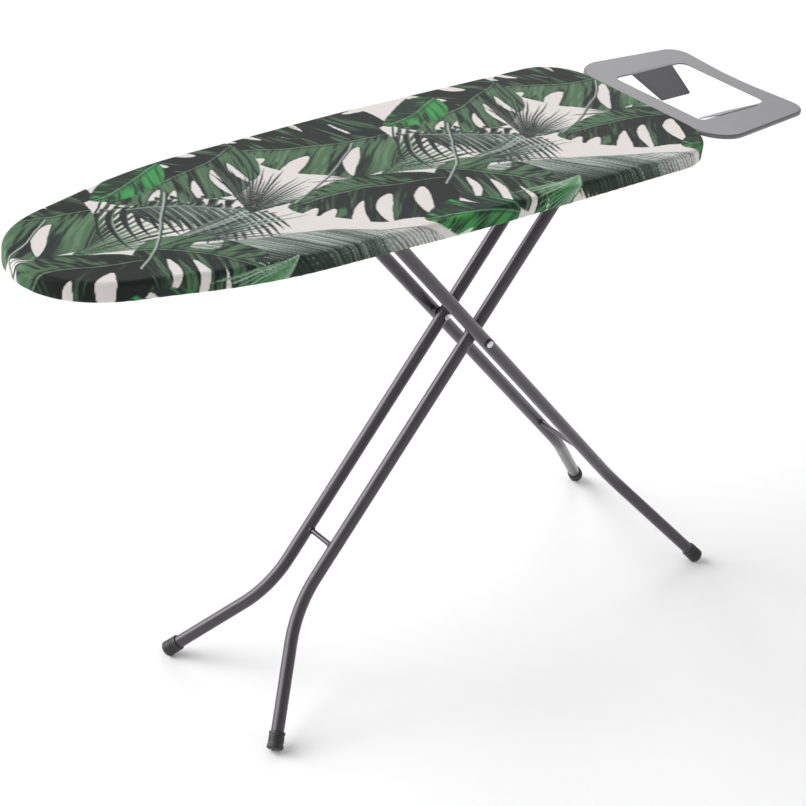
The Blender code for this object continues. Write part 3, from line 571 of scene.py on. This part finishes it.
MATERIALS = {
    "frame_paint": powder_coat("frame_paint", (0.058, 0.052, 0.060), 0.5, 0.31, 0.30),
    "rest_paint": powder_coat("rest_paint", (0.145, 0.142, 0.149), 0.35, 0.46, 0.14),
    "sheet_paint": powder_coat("sheet_paint", (0.50, 0.50, 0.50), 0.2, 0.45, 0.10),
    "bare_steel": plated_steel("bare_steel", (0.56, 0.56, 0.57), 0.30, (1, 0.05, 1)),
    "rivet_steel": plated_steel("rivet_steel", (0.66, 0.66, 0.67), 0.24, (1, 1, 1)),
    "spring_steel": plated_steel("spring_steel", (0.42, 0.42, 0.44), 0.26, (0.2, 1, 1)),
    "printed_cotton": printed_cotton("printed_cotton"),
    "felt": felt_fibre("felt"),
    "black_plastic": moulded_plastic("black_plastic", (0.020, 0.018, 0.020), 0.42),
    "white_plastic": moulded_plastic("white_plastic", (0.68, 0.68, 0.66), 0.38),
}
SLOT_OF = {part["node"]: part["material_slot"] for part in frame["record"]["subparts"]}


def paint_cad_nodes():
    """Every carried-over CAD node gets its slot's material."""
    for name, obj in NODES.items():
        obj.data.materials.clear()
        obj.data.materials.append(MATERIALS[SLOT_OF[name]])


def soften(name, width):
    """Round a CAD node's hard edges a little, so that they catch the light."""
    obj = NODES[name]
    weld = obj.modifiers.new("weld", "WELD")
    weld.merge_threshold = 0.00001
    bevel = obj.modifiers.new("bevel", "BEVEL")
    bevel.width = width
    bevel.segments = 2
    bevel.limit_method = "ANGLE"
    bevel.angle_limit = math.radians(50)


def finish_hardware():
    """Ease the edges of the carried-over CAD nodes: strips more, and the lever and screws less."""
    for name in NODES:
        if name.startswith(("hinge_bracket", "slide_rail", "rest_arm", "lever_bracket")):
            soften(name, 0.0005)
        if name.startswith(("height_lever", "lever_grip", "rest_screw")):
            soften(name, 0.0003)


# ---- mesh tools

def add_piece(name, verts, faces, body, slot, replaces, turn=None, sharp_deg=40):
    """A named mesh riding on a body, in its slot's material, in place of some CAD nodes."""
    mesh = bpy.data.meshes.new(name)
    mesh.from_pydata([tuple(v) for v in verts], [], faces)
    if turn is not None:
        mesh.transform(turn)
    mesh.validate()
    mesh.shade_smooth()
    mesh.set_sharp_from_angle(angle=math.radians(sharp_deg))
    mesh.materials.append(MATERIALS[slot])
    obj = new_object(name, mesh)
    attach(obj, body)
    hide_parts(*replaces)
    return obj


def thicken(obj, thickness):
    """Give a sheet its thickness, on the side away from its normals."""
    solid = obj.modifiers.new("thickness", "SOLIDIFY")
    solid.thickness = thickness
    solid.offset = -1
    return solid


def circle(centre, direction, radius, sides):
    """Points round an axis."""
    axis = Vector(direction).normalized()
    guide = Vector((0, 0, 1)) if abs(axis.z) < 0.9 else Vector((1, 0, 0))
    across = axis.cross(guide).normalized()
    up = across.cross(axis)
    turns = [2 * math.pi * i / sides for i in range(sides)]
    return [Vector(centre) + radius * (math.cos(t) * up + math.sin(t) * across) for t in turns]


def closed_edges(count, start=0):
    """Vertex pairs round a loop."""
    return [(start + i, start + (i + 1) % count) for i in range(count)]


def strip(loops, closed=False):
    """Vertices and quads that bridge equal loops; a closed strip joins the last to the first."""
    verts = [Vector(point) for loop in loops for point in loop]
    count, total = len(loops[0]), len(loops)
    faces = []
    for s in range(total if closed else total - 1):
        a, b = s * count, (s + 1) % total * count
        faces += [(a + i, a + j, b + j, b + i) for i, j in closed_edges(count)]
    return verts, faces


def skin(loops, closed=False):
    """A solid that bridges equal loops; an open stack gets a fan at each end."""
    verts, faces = strip(loops, closed)
    count = len(loops[0])
    for start in () if closed else (0, len(verts) - count):
        tip = len(verts)
        verts.append(sum(verts[start : start + count], Vector()) / count)
        faces += [(a, b, tip) if start else (b, a, tip) for a, b in closed_edges(count, start)]
    return verts, outward(verts, faces)


def outward(verts, faces):
    """Turn every face so that the closed surface faces out."""
    volume = 0.0
    for face in faces:
        a = verts[face[0]]
        for i in range(1, len(face) - 1):
            volume += a.dot(verts[face[i]].cross(verts[face[i + 1]]))
    return faces if volume > 0 else [face[::-1] for face in faces]


def turned(stations, origin, direction=(0, 1, 0), sides=56):
    """A solid turned about an axis from (distance along it, radius) stations."""
    axis = Vector(direction).normalized()
    return skin([circle(Vector(origin) + axis * s, axis, max(r, 1e-5), sides) for s, r in stations])


def joined(parts):
    """One mesh's vertices and faces from several."""
    verts, faces = [], []
    for some_verts, some_faces in parts:
        start = len(verts)
        verts += list(some_verts)
        faces += [tuple(start + i for i in face) for face in some_faces]
    return verts, faces


def plate(outline, holes):
    """A flat sheet inside an outline, in triangles, with convex holes."""
    owner, edges = [], []
    for number, loop in enumerate((outline, *holes)):
        edges += closed_edges(len(loop), len(owner))
        owner += [number] * len(loop)
    points = [Vector(p) for loop in (outline, *holes) for p in loop]
    spots, _, faces, origins, _, _ = delaunay_2d_cdt(points, edges, [], 1, 1e-7)
    loop_of = [owner[origin[0]] for origin in origins]
    # A face with all its corners on one hole lies inside that hole.
    return spots, [f for f in faces if not loop_of[f[0]] or len({loop_of[i] for i in f}) > 1]


# ---- board outline

TAIL_CORNER = 0.080


def bezier(a, b, c, d, steps):
    """Points of a cubic curve, without its last one."""
    t = np.arange(steps)[:, None] / steps
    a, b, c, d = (np.array(p, float) for p in (a, b, c, d))
    return (1 - t) ** 3 * a + 3 * t * (1 - t) ** 2 * b + 3 * t * t * (1 - t) * c + t**3 * d


def arc(centre, reach, start_deg, end_deg, steps):
    """Points of an arc with both its ends; reach is a radius, or one for each axis."""
    angles = np.radians(np.linspace(start_deg, end_deg, steps + 1))
    spots = np.array(centre) + np.stack([np.cos(angles), np.sin(angles)], 1) * reach
    return spots.tolist()


def eased(inset, top, radius, steps):
    """(inset, height) of a rounded upper edge, from its flat top to its upright side."""
    return arc((inset + radius, top - radius), radius, 90, 180, steps)


def spaced(line, count):
    """The open line again, as count + 1 points at equal distances along it."""
    gone = np.concatenate([[0], np.cumsum(np.hypot(*np.diff(line, axis=0).T))])
    at = np.linspace(0, gone[-1], count + 1)
    return np.stack([np.interp(at, gone, line[:, k]) for k in (0, 1)], 1)


def flank():
    """The board's edge on the +Y side, from the middle of the nose to the end of the corner."""
    half = HALF_WIDTH
    corner = (BOARD_LENGTH - TAIL_CORNER, half - TAIL_CORNER)
    line = np.concatenate(
        [
            bezier((0, 0), (0, 0.062), (0.045, 0.100), (0.112, 0.1165), 120),
            bezier((0.112, 0.1165), (0.190, 0.1355), (0.240, 0.1620), (0.390, 0.1670), 90),
            bezier((0.390, 0.1670), (0.500, 0.1705), (0.560, half), (0.700, half), 60),
            arc(corner, TAIL_CORNER, 90, 0, 60),
        ]
    )
    return line + (NOSE_X, 0)


class Board:
    """The board's outline at one spacing: its points in order and the inward direction at each."""

    def __init__(self, spacing):
        line = flank()
        self.columns = round(float(np.hypot(*np.diff(line, axis=0).T).sum()) / spacing)
        self.rows = 2 * round(HALF_WIDTH / spacing)
        upper = spaced(line, self.columns)
        self.across = np.linspace(1, -1, self.rows + 1)
        tail = np.stack([np.full(self.rows - 1, TAIL_X), upper[-1, 1] * self.across[1:-1]], 1)
        lower = upper[:0:-1] * (1, -1)
        self.points = np.concatenate([upper, tail, lower])
        ahead, behind = np.roll(self.points, -1, 0), np.roll(self.points, 1, 0)
        along = ahead - behind
        along /= np.hypot(*along.T)[:, None]
        self.inward = np.stack([along[:, 1], -along[:, 0]], 1)
        self.inward[self.columns : self.columns + self.rows + 1] = (-1, 0)
        steps = np.hypot(*(ahead - self.points).T)
        self.round = np.concatenate([[0], np.cumsum(steps)[:-1]])
        self.girth = float(steps.sum())
        self.area = abs(float(np.cross(self.points, ahead).sum())) / 2

    def at(self, distance):
        """The outline moved inwards."""
        return self.points + self.inward * distance

    def ring(self, distance, z):
        """The outline moved inwards, at a height."""
        return np.column_stack([self.at(distance), np.full(len(self.points), z)])

    def panel(self, edge):
        """A grid that fills the outline `edge`: inner points, and faces over edge + inner."""
        columns, rows = self.columns, self.rows
        index = np.zeros((columns + 1, rows + 1), int)
        index[1:, 0] = np.arange(1, columns + 1)
        index[columns, :] = np.arange(columns, columns + rows + 1)
        index[1:, rows] = len(edge) - np.arange(1, columns + 1)
        inner = len(edge) + np.arange((columns - 1) * (rows - 1)).reshape(columns - 1, rows - 1)
        index[1:columns, 1:rows] = inner
        x, half = edge[1:columns, 0], edge[1:columns, 1]
        grid = np.stack([np.repeat(x[:, None], rows - 1, 1), half[:, None] * self.across[1:-1]], -1)
        corners = (index[1:-1, :-1], index[1:-1, 1:], index[2:, 1:], index[2:, :-1])
        quads = np.stack(corners, -1).reshape(-1, 4)
        fan = np.stack([np.zeros(rows, int), index[1, 1:], index[1, :-1]], -1)
        return grid.reshape(-1, 2), quads.tolist() + fan.tolist()

    def shell(self, rings, z):
        """A panel at height z inside the first ring, and walls from each ring to the next.

        Ring 0's vertices come first, then the panel's inner points, then the other rings. The last
        thing returned is the number of each ring's first vertex.
        """
        inner, faces = self.panel(rings[0][:, :2])
        size = len(self.points)
        middle = np.column_stack([inner, np.full(len(inner), z)])
        verts = np.concatenate([rings[0], middle, *rings[1:]])
        starts = [0, *(size * k + len(inner) for k in range(1, len(rings)))]
        here = np.arange(size)
        after = np.roll(here, -1)
        for a, b in zip(starts, starts[1:]):
            faces += np.stack([a + here, a + after, b + after, b + here], -1).tolist()
        return verts, faces, starts


# ---- cover, pad and steel top

EDGE_RADIUS = 0.0075
HEM_BEND = 0.0035  # radius of the turn under the rim
HEM_REACH = 0.030
HEM_ROLL = 0.0016
PRINT_START = -0.70
PRINT_WHITE = 0.86  # the share of light that the print's white gives back


def cover_profile():
    """(inset, height, distance along the cloth) from the flat top, over the edge and under."""
    low = SKIRT_Z + 0.0004 - BOARD_TOP
    bottom = low + HEM_BEND
    line = [(EDGE_RADIUS + 0.002, 0.0), *eased(0.0, 0.0, EDGE_RADIUS, 7)]
    line += [(0.0, height) for height in np.linspace(-EDGE_RADIUS, bottom, 10)[1:]]
    for a in (0.5, 1.0, 1.5708):
        line.append((HEM_BEND * (1 - math.cos(a)), bottom - HEM_BEND * math.sin(a)))
    line += [(HEM_BEND + (HEM_REACH - 0.0065) * i / 5, low) for i in range(1, 6)]
    line += [*arc((line[-1][0], low + HEM_ROLL), (HEM_ROLL * 1.6, HEM_ROLL), -50, 190, 6)]
    steps = np.hypot(*np.diff(line, axis=0).T)
    return [(*spot, gone) for spot, gone in zip(line, [0.0, *np.cumsum(steps)])]


def make_cover():
    """The printed cloth: taut over the pad, down the edge, and gathered under the rim."""
    board = Board(0.0016)
    stations = cover_profile()
    first = board.at(stations[0][0])
    turn = board.round
    pucker = np.sin(turn * 2 * np.pi / 0.0213 + 2.5 * np.sin(turn * 23))
    pucker = pucker * noise(turn * 31, np.full(len(turn), 3.3))
    gather = np.sin(turn * 2 * np.pi / 0.0091 + 2.0 * np.sin(turn * 41)) * 0.5 + 0.5
    rings, flat = [], []
    for distance, height, gone in stations:
        under = max(0.0, min(1.0, (distance - 0.004) / HEM_REACH)) if height < -0.02 else 0.0
        drop = min(1.0, -height / (BOARD_TOP - SKIRT_Z))
        ease = pucker * 0.00055 * drop**2 * (1 - under)
        place = board.at(distance) - board.inward * ease[:, None]
        rings.append(np.column_stack([place, BOARD_TOP + height + gather * 0.0011 * under]))
        flat.append(first - board.inward * gone)
    verts, faces, starts = board.shell(rings, BOARD_TOP)
    spots = np.concatenate([first, verts[len(first) : starts[1], :2], *flat[1:]])
    calm = np.clip((verts[:, 2] - (BOARD_TOP - 0.004)) / 0.004, 0, 1)
    swell = noise(spots[:, 0] * 14, spots[:, 1] * 14) - 0.5
    verts[:, 2] += (swell * 0.0007 - 0.0003) * calm
    look = ("board", "printed_cotton", ["fabric_cover"])
    cover = add_piece("cover", verts, faces, *look, sharp_deg=180)
    share = np.clip(paint(spots - (PRINT_START, 0)), 0, 255) / 255
    linear = np.where(share > 0.04045, ((share + 0.055) / 1.055) ** 2.4, share / 12.92)
    colours = np.ones((len(verts), 4), np.float32)
    colours[:, :3] = PRINT_WHITE * linear
    layer = cover.data.color_attributes.new("print", "FLOAT_COLOR", "POINT")
    layer.data.foreach_set("color", colours.ravel())


def make_pad():
    """The felt under the cloth, a crowned slab with a soft edge."""
    low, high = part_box("felt_pad")
    board = Board(0.006)
    inset = 0.0026
    stations = [(0.010, high.z), *eased(inset, high.z, 0.0040, 5), (inset, low.z)]
    verts, faces, starts = board.shell([board.ring(d, z) for d, z in stations], high.z)
    under, floor_faces = board.panel(board.at(inset))
    faces += [tuple(starts[-1] + i for i in face[::-1]) for face in floor_faces]
    verts = np.concatenate([verts, np.column_stack([under, np.full(len(under), low.z)])])
    crown = (noise(verts[:, 0] * 22, verts[:, 1] * 22) - 1.0) * 0.0004
    verts[:, 2] += np.where(verts[:, 2] > high.z - 0.001, crown, 0)
    pad = add_piece("pad", verts, faces, "board", "felt", ["felt_pad"], sharp_deg=180)


HOLE_PITCH = 0.0180
HOLE_RADIUS = 0.0043
HOLE_MARGIN = 0.019  # from the sheet's edge to the middle of a hole
HOLES_FROM = -0.12


def make_steel_top():
    """The top's sheet, with rows of round steam holes."""
    low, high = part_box("steel_top")
    board = Board(0.012)
    rim = HALF_WIDTH - high.y
    margin = board.at(rim + HOLE_MARGIN)[: board.columns + 1].T
    holes = []
    for row in range(-12, 13):
        y = row * HOLE_PITCH * math.sqrt(3) / 2
        for column in range(-45, 45):
            x = (column + 0.5 * (row % 2)) * HOLE_PITCH + HOLES_FROM
            if abs(y) < np.interp(x, *margin, 0, 0):
                holes.append(arc((x, y), HOLE_RADIUS, 0, 330, 11))
    spots, faces = plate(board.at(rim), holes)
    verts = [(*spot, high.z) for spot in spots]
    sheet = add_piece("top_sheet", verts, faces, "board", "sheet_paint", ["steel_top"])
    thicken(sheet, high.z - low.z)


def make_rim():
    """The channel round the top: a ledge under the sheet, the wall and a lip turned in below."""
    low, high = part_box("top_rim")
    board = Board(0.005)
    rim = HALF_WIDTH - high.y
    sheet = 0.0008
    lip, ledge, bend = 0.005, 0.010, 0.002
    upper, lower = (rim + bend, high.z - bend), (rim + bend, low.z + bend)
    section = [(rim + ledge, high.z), *arc(upper, bend, 90, 180, 4), *arc(lower, bend, 180, 270, 4)]
    section += [(rim + lip, low.z), (rim + lip, low.z + sheet)]
    section += [*arc(lower, bend - sheet, 270, 180, 4), *arc(upper, bend - sheet, 180, 90, 4)]
    section += [(rim + ledge, high.z - sheet)]
    channel = skin([board.ring(d, z) for d, z in section], closed=True)
    add_piece("rim_channel", *channel, "board", "sheet_paint", ["top_rim"])


# ---- tube frames

TUBE_RADIUS = 0.010
TUBE_WALL = 0.0010
FOOT_RADIUS = 0.01275
FOOT_LENGTH = 0.027
FOOT_SINK = 0.0025
ROD_RADIUS = 0.004
TUBE_TOP = 0.012  # how far a tube runs past its rod
CAP_FLOOR = 0.0036
BAR_SIDES = 40


def make_legs(title, top, half_gap, bend, radius, splay_deg, crossbar):
    """A pair of bent tubes with their foot caps and the bar welded between them."""
    down = (PIVOT - top).normalized()
    turn = Matrix.Translation(PIVOT) @ Matrix.Rotation(math.atan2(-down.z, down.x), 4, "Y")
    arm = (PIVOT - top).length
    slope = math.asin(-down.z)
    reclined = math.cos(math.radians(splay_deg))
    lean = math.sin(slope) * reclined
    centre_height = FOOT_RADIUS * math.sqrt(1 - lean**2) - FOOT_SINK
    end = (PIVOT.z - centre_height) / math.sin(slope) - CAP_FLOOR * reclined
    body = title + "_frame"
    reach = half_gap - TUBE_RADIUS + TUBE_WALL
    rod = [(-reach, ROD_RADIUS), (reach, ROD_RADIUS)]
    bar_parts = []
    for side_name, side in SIDES:
        line, direction = leg_line(end, half_gap, side, -arm - TUBE_TOP, bend, radius, splay_deg)
        leg = f"{title}_leg_{side_name}"
        tube = hollow_tube(line)
        add_piece("tube_" + leg, *tube, body, "frame_paint", [leg], turn, sharp_deg=50)
        foot = f"{title}_foot_{side_name}"
        cap = foot_cap(line[-1] + direction * CAP_FLOOR, direction, turn)
        add_piece("cap_" + foot, *cap, body, "black_plastic", [foot], turn, sharp_deg=35)
        bar_parts.append(weld_bead(crossbar, side, side * (half_gap - TUBE_RADIUS)))
    bar_parts.append(turned(rod, (crossbar, 0, 0), sides=BAR_SIDES))
    bar = title + "_crossbar"
    add_piece("welded_" + bar, *joined(bar_parts), body, "frame_paint", [bar], turn, sharp_deg=50)


def weld_bead(crossbar, side, wall):
    """The slightly uneven ring of weld between a tube's wall and the crossbar."""
    loops = []
    for number, (wide, out) in enumerate(arc((0.0052, 0), (0.0012, -side * 0.0030), 0, 180, 8)):
        centre = Vector((crossbar, wall + side * 0.0015 + out, 0))
        loops.append([])
        for k, p in enumerate(circle(centre, (0, 1, 0), wide, BAR_SIDES)):
            rough = 0.00025 * math.sin(7 * k * 0.157 + 2.3 * number) * math.sin(k * 0.5)
            loops[-1].append(p + (p - centre).normalized() * rough)
    return skin(loops)


def leg_line(end, half_gap, side, top, bend, radius, splay_deg):
    """A leg's centre line in its frame's plane, and the direction of its last stretch."""
    curve = arc((bend, half_gap + radius), radius, -90, -90 + splay_deg, 24)
    flat = [(x, half_gap) for x in np.linspace(top, bend, 14)] + curve[1:]
    points = [Vector((x, side * y, 0)) for x, y in flat]
    splay = math.radians(splay_deg)
    direction = Vector((math.cos(splay), side * math.sin(splay), 0))
    last = points[-1]
    points.append(last + direction * (end - last.x) / direction.x)
    return points, direction


def hollow_tube(points):
    """A round tube along a line, open at both ends, with its upper end slightly eased."""
    outer, inner = [], []
    for i, point in enumerate(points):
        along = (points[min(i + 1, len(points) - 1)] - points[max(i - 1, 0)]).normalized()
        outer.append(circle(point, along, TUBE_RADIUS, 36))
        inner.append(circle(point, along, TUBE_RADIUS - TUBE_WALL, 36))
    first = outer[0]
    axis = (points[1] - points[0]).normalized()
    outer[0] = [points[0] + (p - points[0]) * 0.97 for p in first]
    outer.insert(1, [p + axis * 0.0004 for p in first])
    return skin(outer + inner[::-1], closed=True)


def foot_cap(end, direction, turn):
    """A moulded cup over the tube's end: a collar, three grip rings and the facet it stands on."""
    bore = TUBE_RADIUS + 0.0003
    mouth = -FOOT_LENGTH
    # Distances from the mouth and radii, below the cap's outer radius, of the collar and the rings.
    steps = [(0.0005, 0.0006), (0.0012, 0.0003), (0.0038, 0.0002), (0.0044, 0.0009)]
    steps.append((0.0060, 0.0010))
    for at in (0.0078, 0.0112, 0.0146):
        steps += [(at, 0.0010), (at + 0.0004, 0.0003), (at + 0.0012, 0.0003), (at + 0.0016, 0.0010)]
    shell = [(-0.0032, 0.0002), (-0.0032, bore), (mouth, bore), (mouth, bore + 0.0009)]
    shell += [(mouth + at, FOOT_RADIUS - below) for at, below in steps]
    shell += [(-0.0078, FOOT_RADIUS - 0.0008), (-0.0070, FOOT_RADIUS - 0.0001)]
    shell += [*arc((-0.0036, FOOT_RADIUS - 0.0036), 0.0036, 90, 0, 6), (0.0, 0.0002)]
    verts, faces = turned(shell, end, direction)
    data = bmesh.new()
    made = [data.verts.new(v) for v in verts]
    for face in faces:
        data.faces.new([made[i] for i in face])
    up = turn.to_3x3().inverted() @ Vector((0, 0, 1))
    everything = data.verts[:] + data.edges[:] + data.faces[:]
    floor = up * -PIVOT.z
    split = bmesh.ops.bisect_plane(
        data, geom=everything, plane_co=floor, plane_no=up, clear_inner=True
    )
    edges = [g for g in split["geom_cut"] if isinstance(g, bmesh.types.BMEdge)]
    bmesh.ops.contextual_create(data, geom=edges)
    data.verts.index_update()
    out_verts = [v.co.copy() for v in data.verts]
    out_faces = [tuple(v.index for v in f.verts) for f in data.faces]
    data.free()
    return out_verts, out_faces


def make_rivets():
    """The scissor's rivets, with a low head inside and a dished head outside."""
    inside, outside = 0.0225, 0.072
    shank = 0.0029
    line = [(inside - 0.0016, 0.0008), *arc((inside - 0.0003, 0), (0.0013, 0.0050), 165, 90, 5)]
    line += [(inside - 0.0003, shank), (outside + 0.0013, shank), (outside + 0.0013, 0.0056)]
    line += [(outside + 0.0016, 0.0060)]
    line += [*arc((outside + 0.0016, 0.0026), (0.0024, 0.0034), 75, 0, 5)]
    line += [(outside + 0.0036, 0.0018), (outside + 0.0034, 0.0004)]
    for side_name, side in SIDES:
        name = "pivot_rivet_" + side_name
        solid = turned([(side * s, r) for s, r in line], PIVOT)
        add_piece("turned_" + name, *solid, "outer_frame", "rivet_steel", [name], sharp_deg=45)


# ---- iron rest

REST_TOP_Z = 0.842
REST_LIP = 0.006
REST_SHEET = 0.0015
WINDOW_EDGE = 0.0016  # how far the sheet turns down round the window


def rounded(corners, steps):
    """A polygon with round corners: each corner is (x, y, radius)."""
    points = []
    for i, (x, y, radius) in enumerate(corners):
        here = Vector((x, y))
        back = (Vector(corners[i - 1][:2]) - here).normalized()
        ahead = (Vector(corners[(i + 1) % len(corners)][:2]) - here).normalized()
        half_angle = back.angle(ahead) / 2
        reach = radius / math.tan(half_angle)
        centre = here + (back + ahead).normalized() * radius / math.sin(half_angle)
        first = here + back * reach - centre
        sign = 1 if first.y * back.x - first.x * back.y > 0 else -1
        for step_at in range(steps + 1):
            turn = Matrix.Rotation(sign * (math.pi - 2 * half_angle) * step_at / steps, 2)
            points.append(centre + turn @ first)
    return points


def moved_in(points, distance):
    """A closed clockwise outline moved inwards, or outwards for a negative distance."""
    made = []
    for i, here in enumerate(points):
        along = (points[(i + 1) % len(points)] - points[i - 1]).normalized()
        made.append(here + Vector((along.y, -along.x)) * distance)
    return made


def make_iron_rest():
    """A pressed plate: a rolled lip outside, an eased edge round the window, and two tongues."""
    end_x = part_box("iron_rest")[1].x
    half_outline = [(TAIL_X + 0.006, 0.1635, 0.055), (end_x + 0.0036, 0.142, 0.032)]
    half_outline.append((end_x - 0.009, 0.028, 0.150))
    half_window = [(TAIL_X + 0.042, 0.093, 0.010), (TAIL_X + 0.196, 0.088, 0.014)]
    outline, window = (
        rounded(half + [(x, -y, radius) for x, y, radius in half[::-1]], steps)
        for half, steps in ((half_outline, 18), (half_window, 12))
    )
    bend, edge = 0.0030, 0.0010
    outside = [(bend + 0.0004, 0.0), *eased(0.0, 0.0, bend, 6), (0.0, -REST_LIP)]
    inside = [(edge + 0.0004, 0.0), *eased(0.0, 0.0, edge, 3), (0.0, -WINDOW_EDGE)]
    spots, faces = plate(moved_in(outline, outside[0][0]), [moved_in(window, -inside[0][0])])
    parts = [([(*spot, REST_TOP_Z) for spot in spots], faces)]
    parts.append(strip([[(*p, REST_TOP_Z + z) for p in moved_in(outline, d)] for d, z in outside]))
    verts, faces = strip([[(*p, REST_TOP_Z + z) for p in moved_in(window, -d)] for d, z in inside])
    parts.append((verts, [face[::-1] for face in faces]))
    parts += [tongue(side) for _, side in SIDES]
    rest = add_piece("rest_plate", *joined(parts), "board", "rest_paint", ["iron_rest"])
    weld = rest.modifiers.new("weld", "WELD")
    weld.merge_threshold = 0.00003
    thicken(rest, REST_SHEET).use_even_offset = True


def tongue(side):
    """A tab that narrows towards its free end, bent down along the window's edge."""
    fold, radius, fold_deg = 0.0905, 0.0035, 30
    length, corner, count, across = 0.0575, 0.0015, 14, 16
    line = [(fold + 0.004, REST_TOP_Z + 0.00005)]
    line += [*arc((fold, REST_TOP_Z - radius), radius, 90, 90 + fold_deg, 8)]
    reaches = [length * i / count for i in range(1, count)] + [length - corner, length]
    y, z = line[-1]
    angle = math.radians(fold_deg)
    flat = len(line)
    line += [(y - gone * math.cos(angle), z - gone * math.sin(angle)) for gone in reaches]
    verts, faces = [], []
    for gone, (y, z) in zip([0.0] * flat + reaches, line):
        share = gone / length
        rounding = corner if gone == length else 0.0
        start = TAIL_X + 0.079 + 0.023 * share + rounding
        end = TAIL_X + 0.171 - 0.003 * share - rounding
        for k in range(across + 1):
            verts.append(Vector((start + (end - start) * k / across, side * y, z)))
    for s in range(len(line) - 1):
        for k in range(across):
            a = s * (across + 1) + k
            face = (a, a + 1, a + across + 2, a + across + 1)
            faces.append(face[::-1] if side > 0 else face)
    return verts, faces


# ---- everything

make_camera()
make_studio()
paint_cad_nodes()
finish_hardware()
make_cover()
make_pad()
make_steel_top()
make_rim()
make_legs("inner", HINGE, 0.0325, 0.440, 0.200, 30.5, 0.386)
make_legs("outer", SLIDE, 0.062, 0.463, 0.210, 20.0, 0.410)
make_rivets()
make_iron_rest()
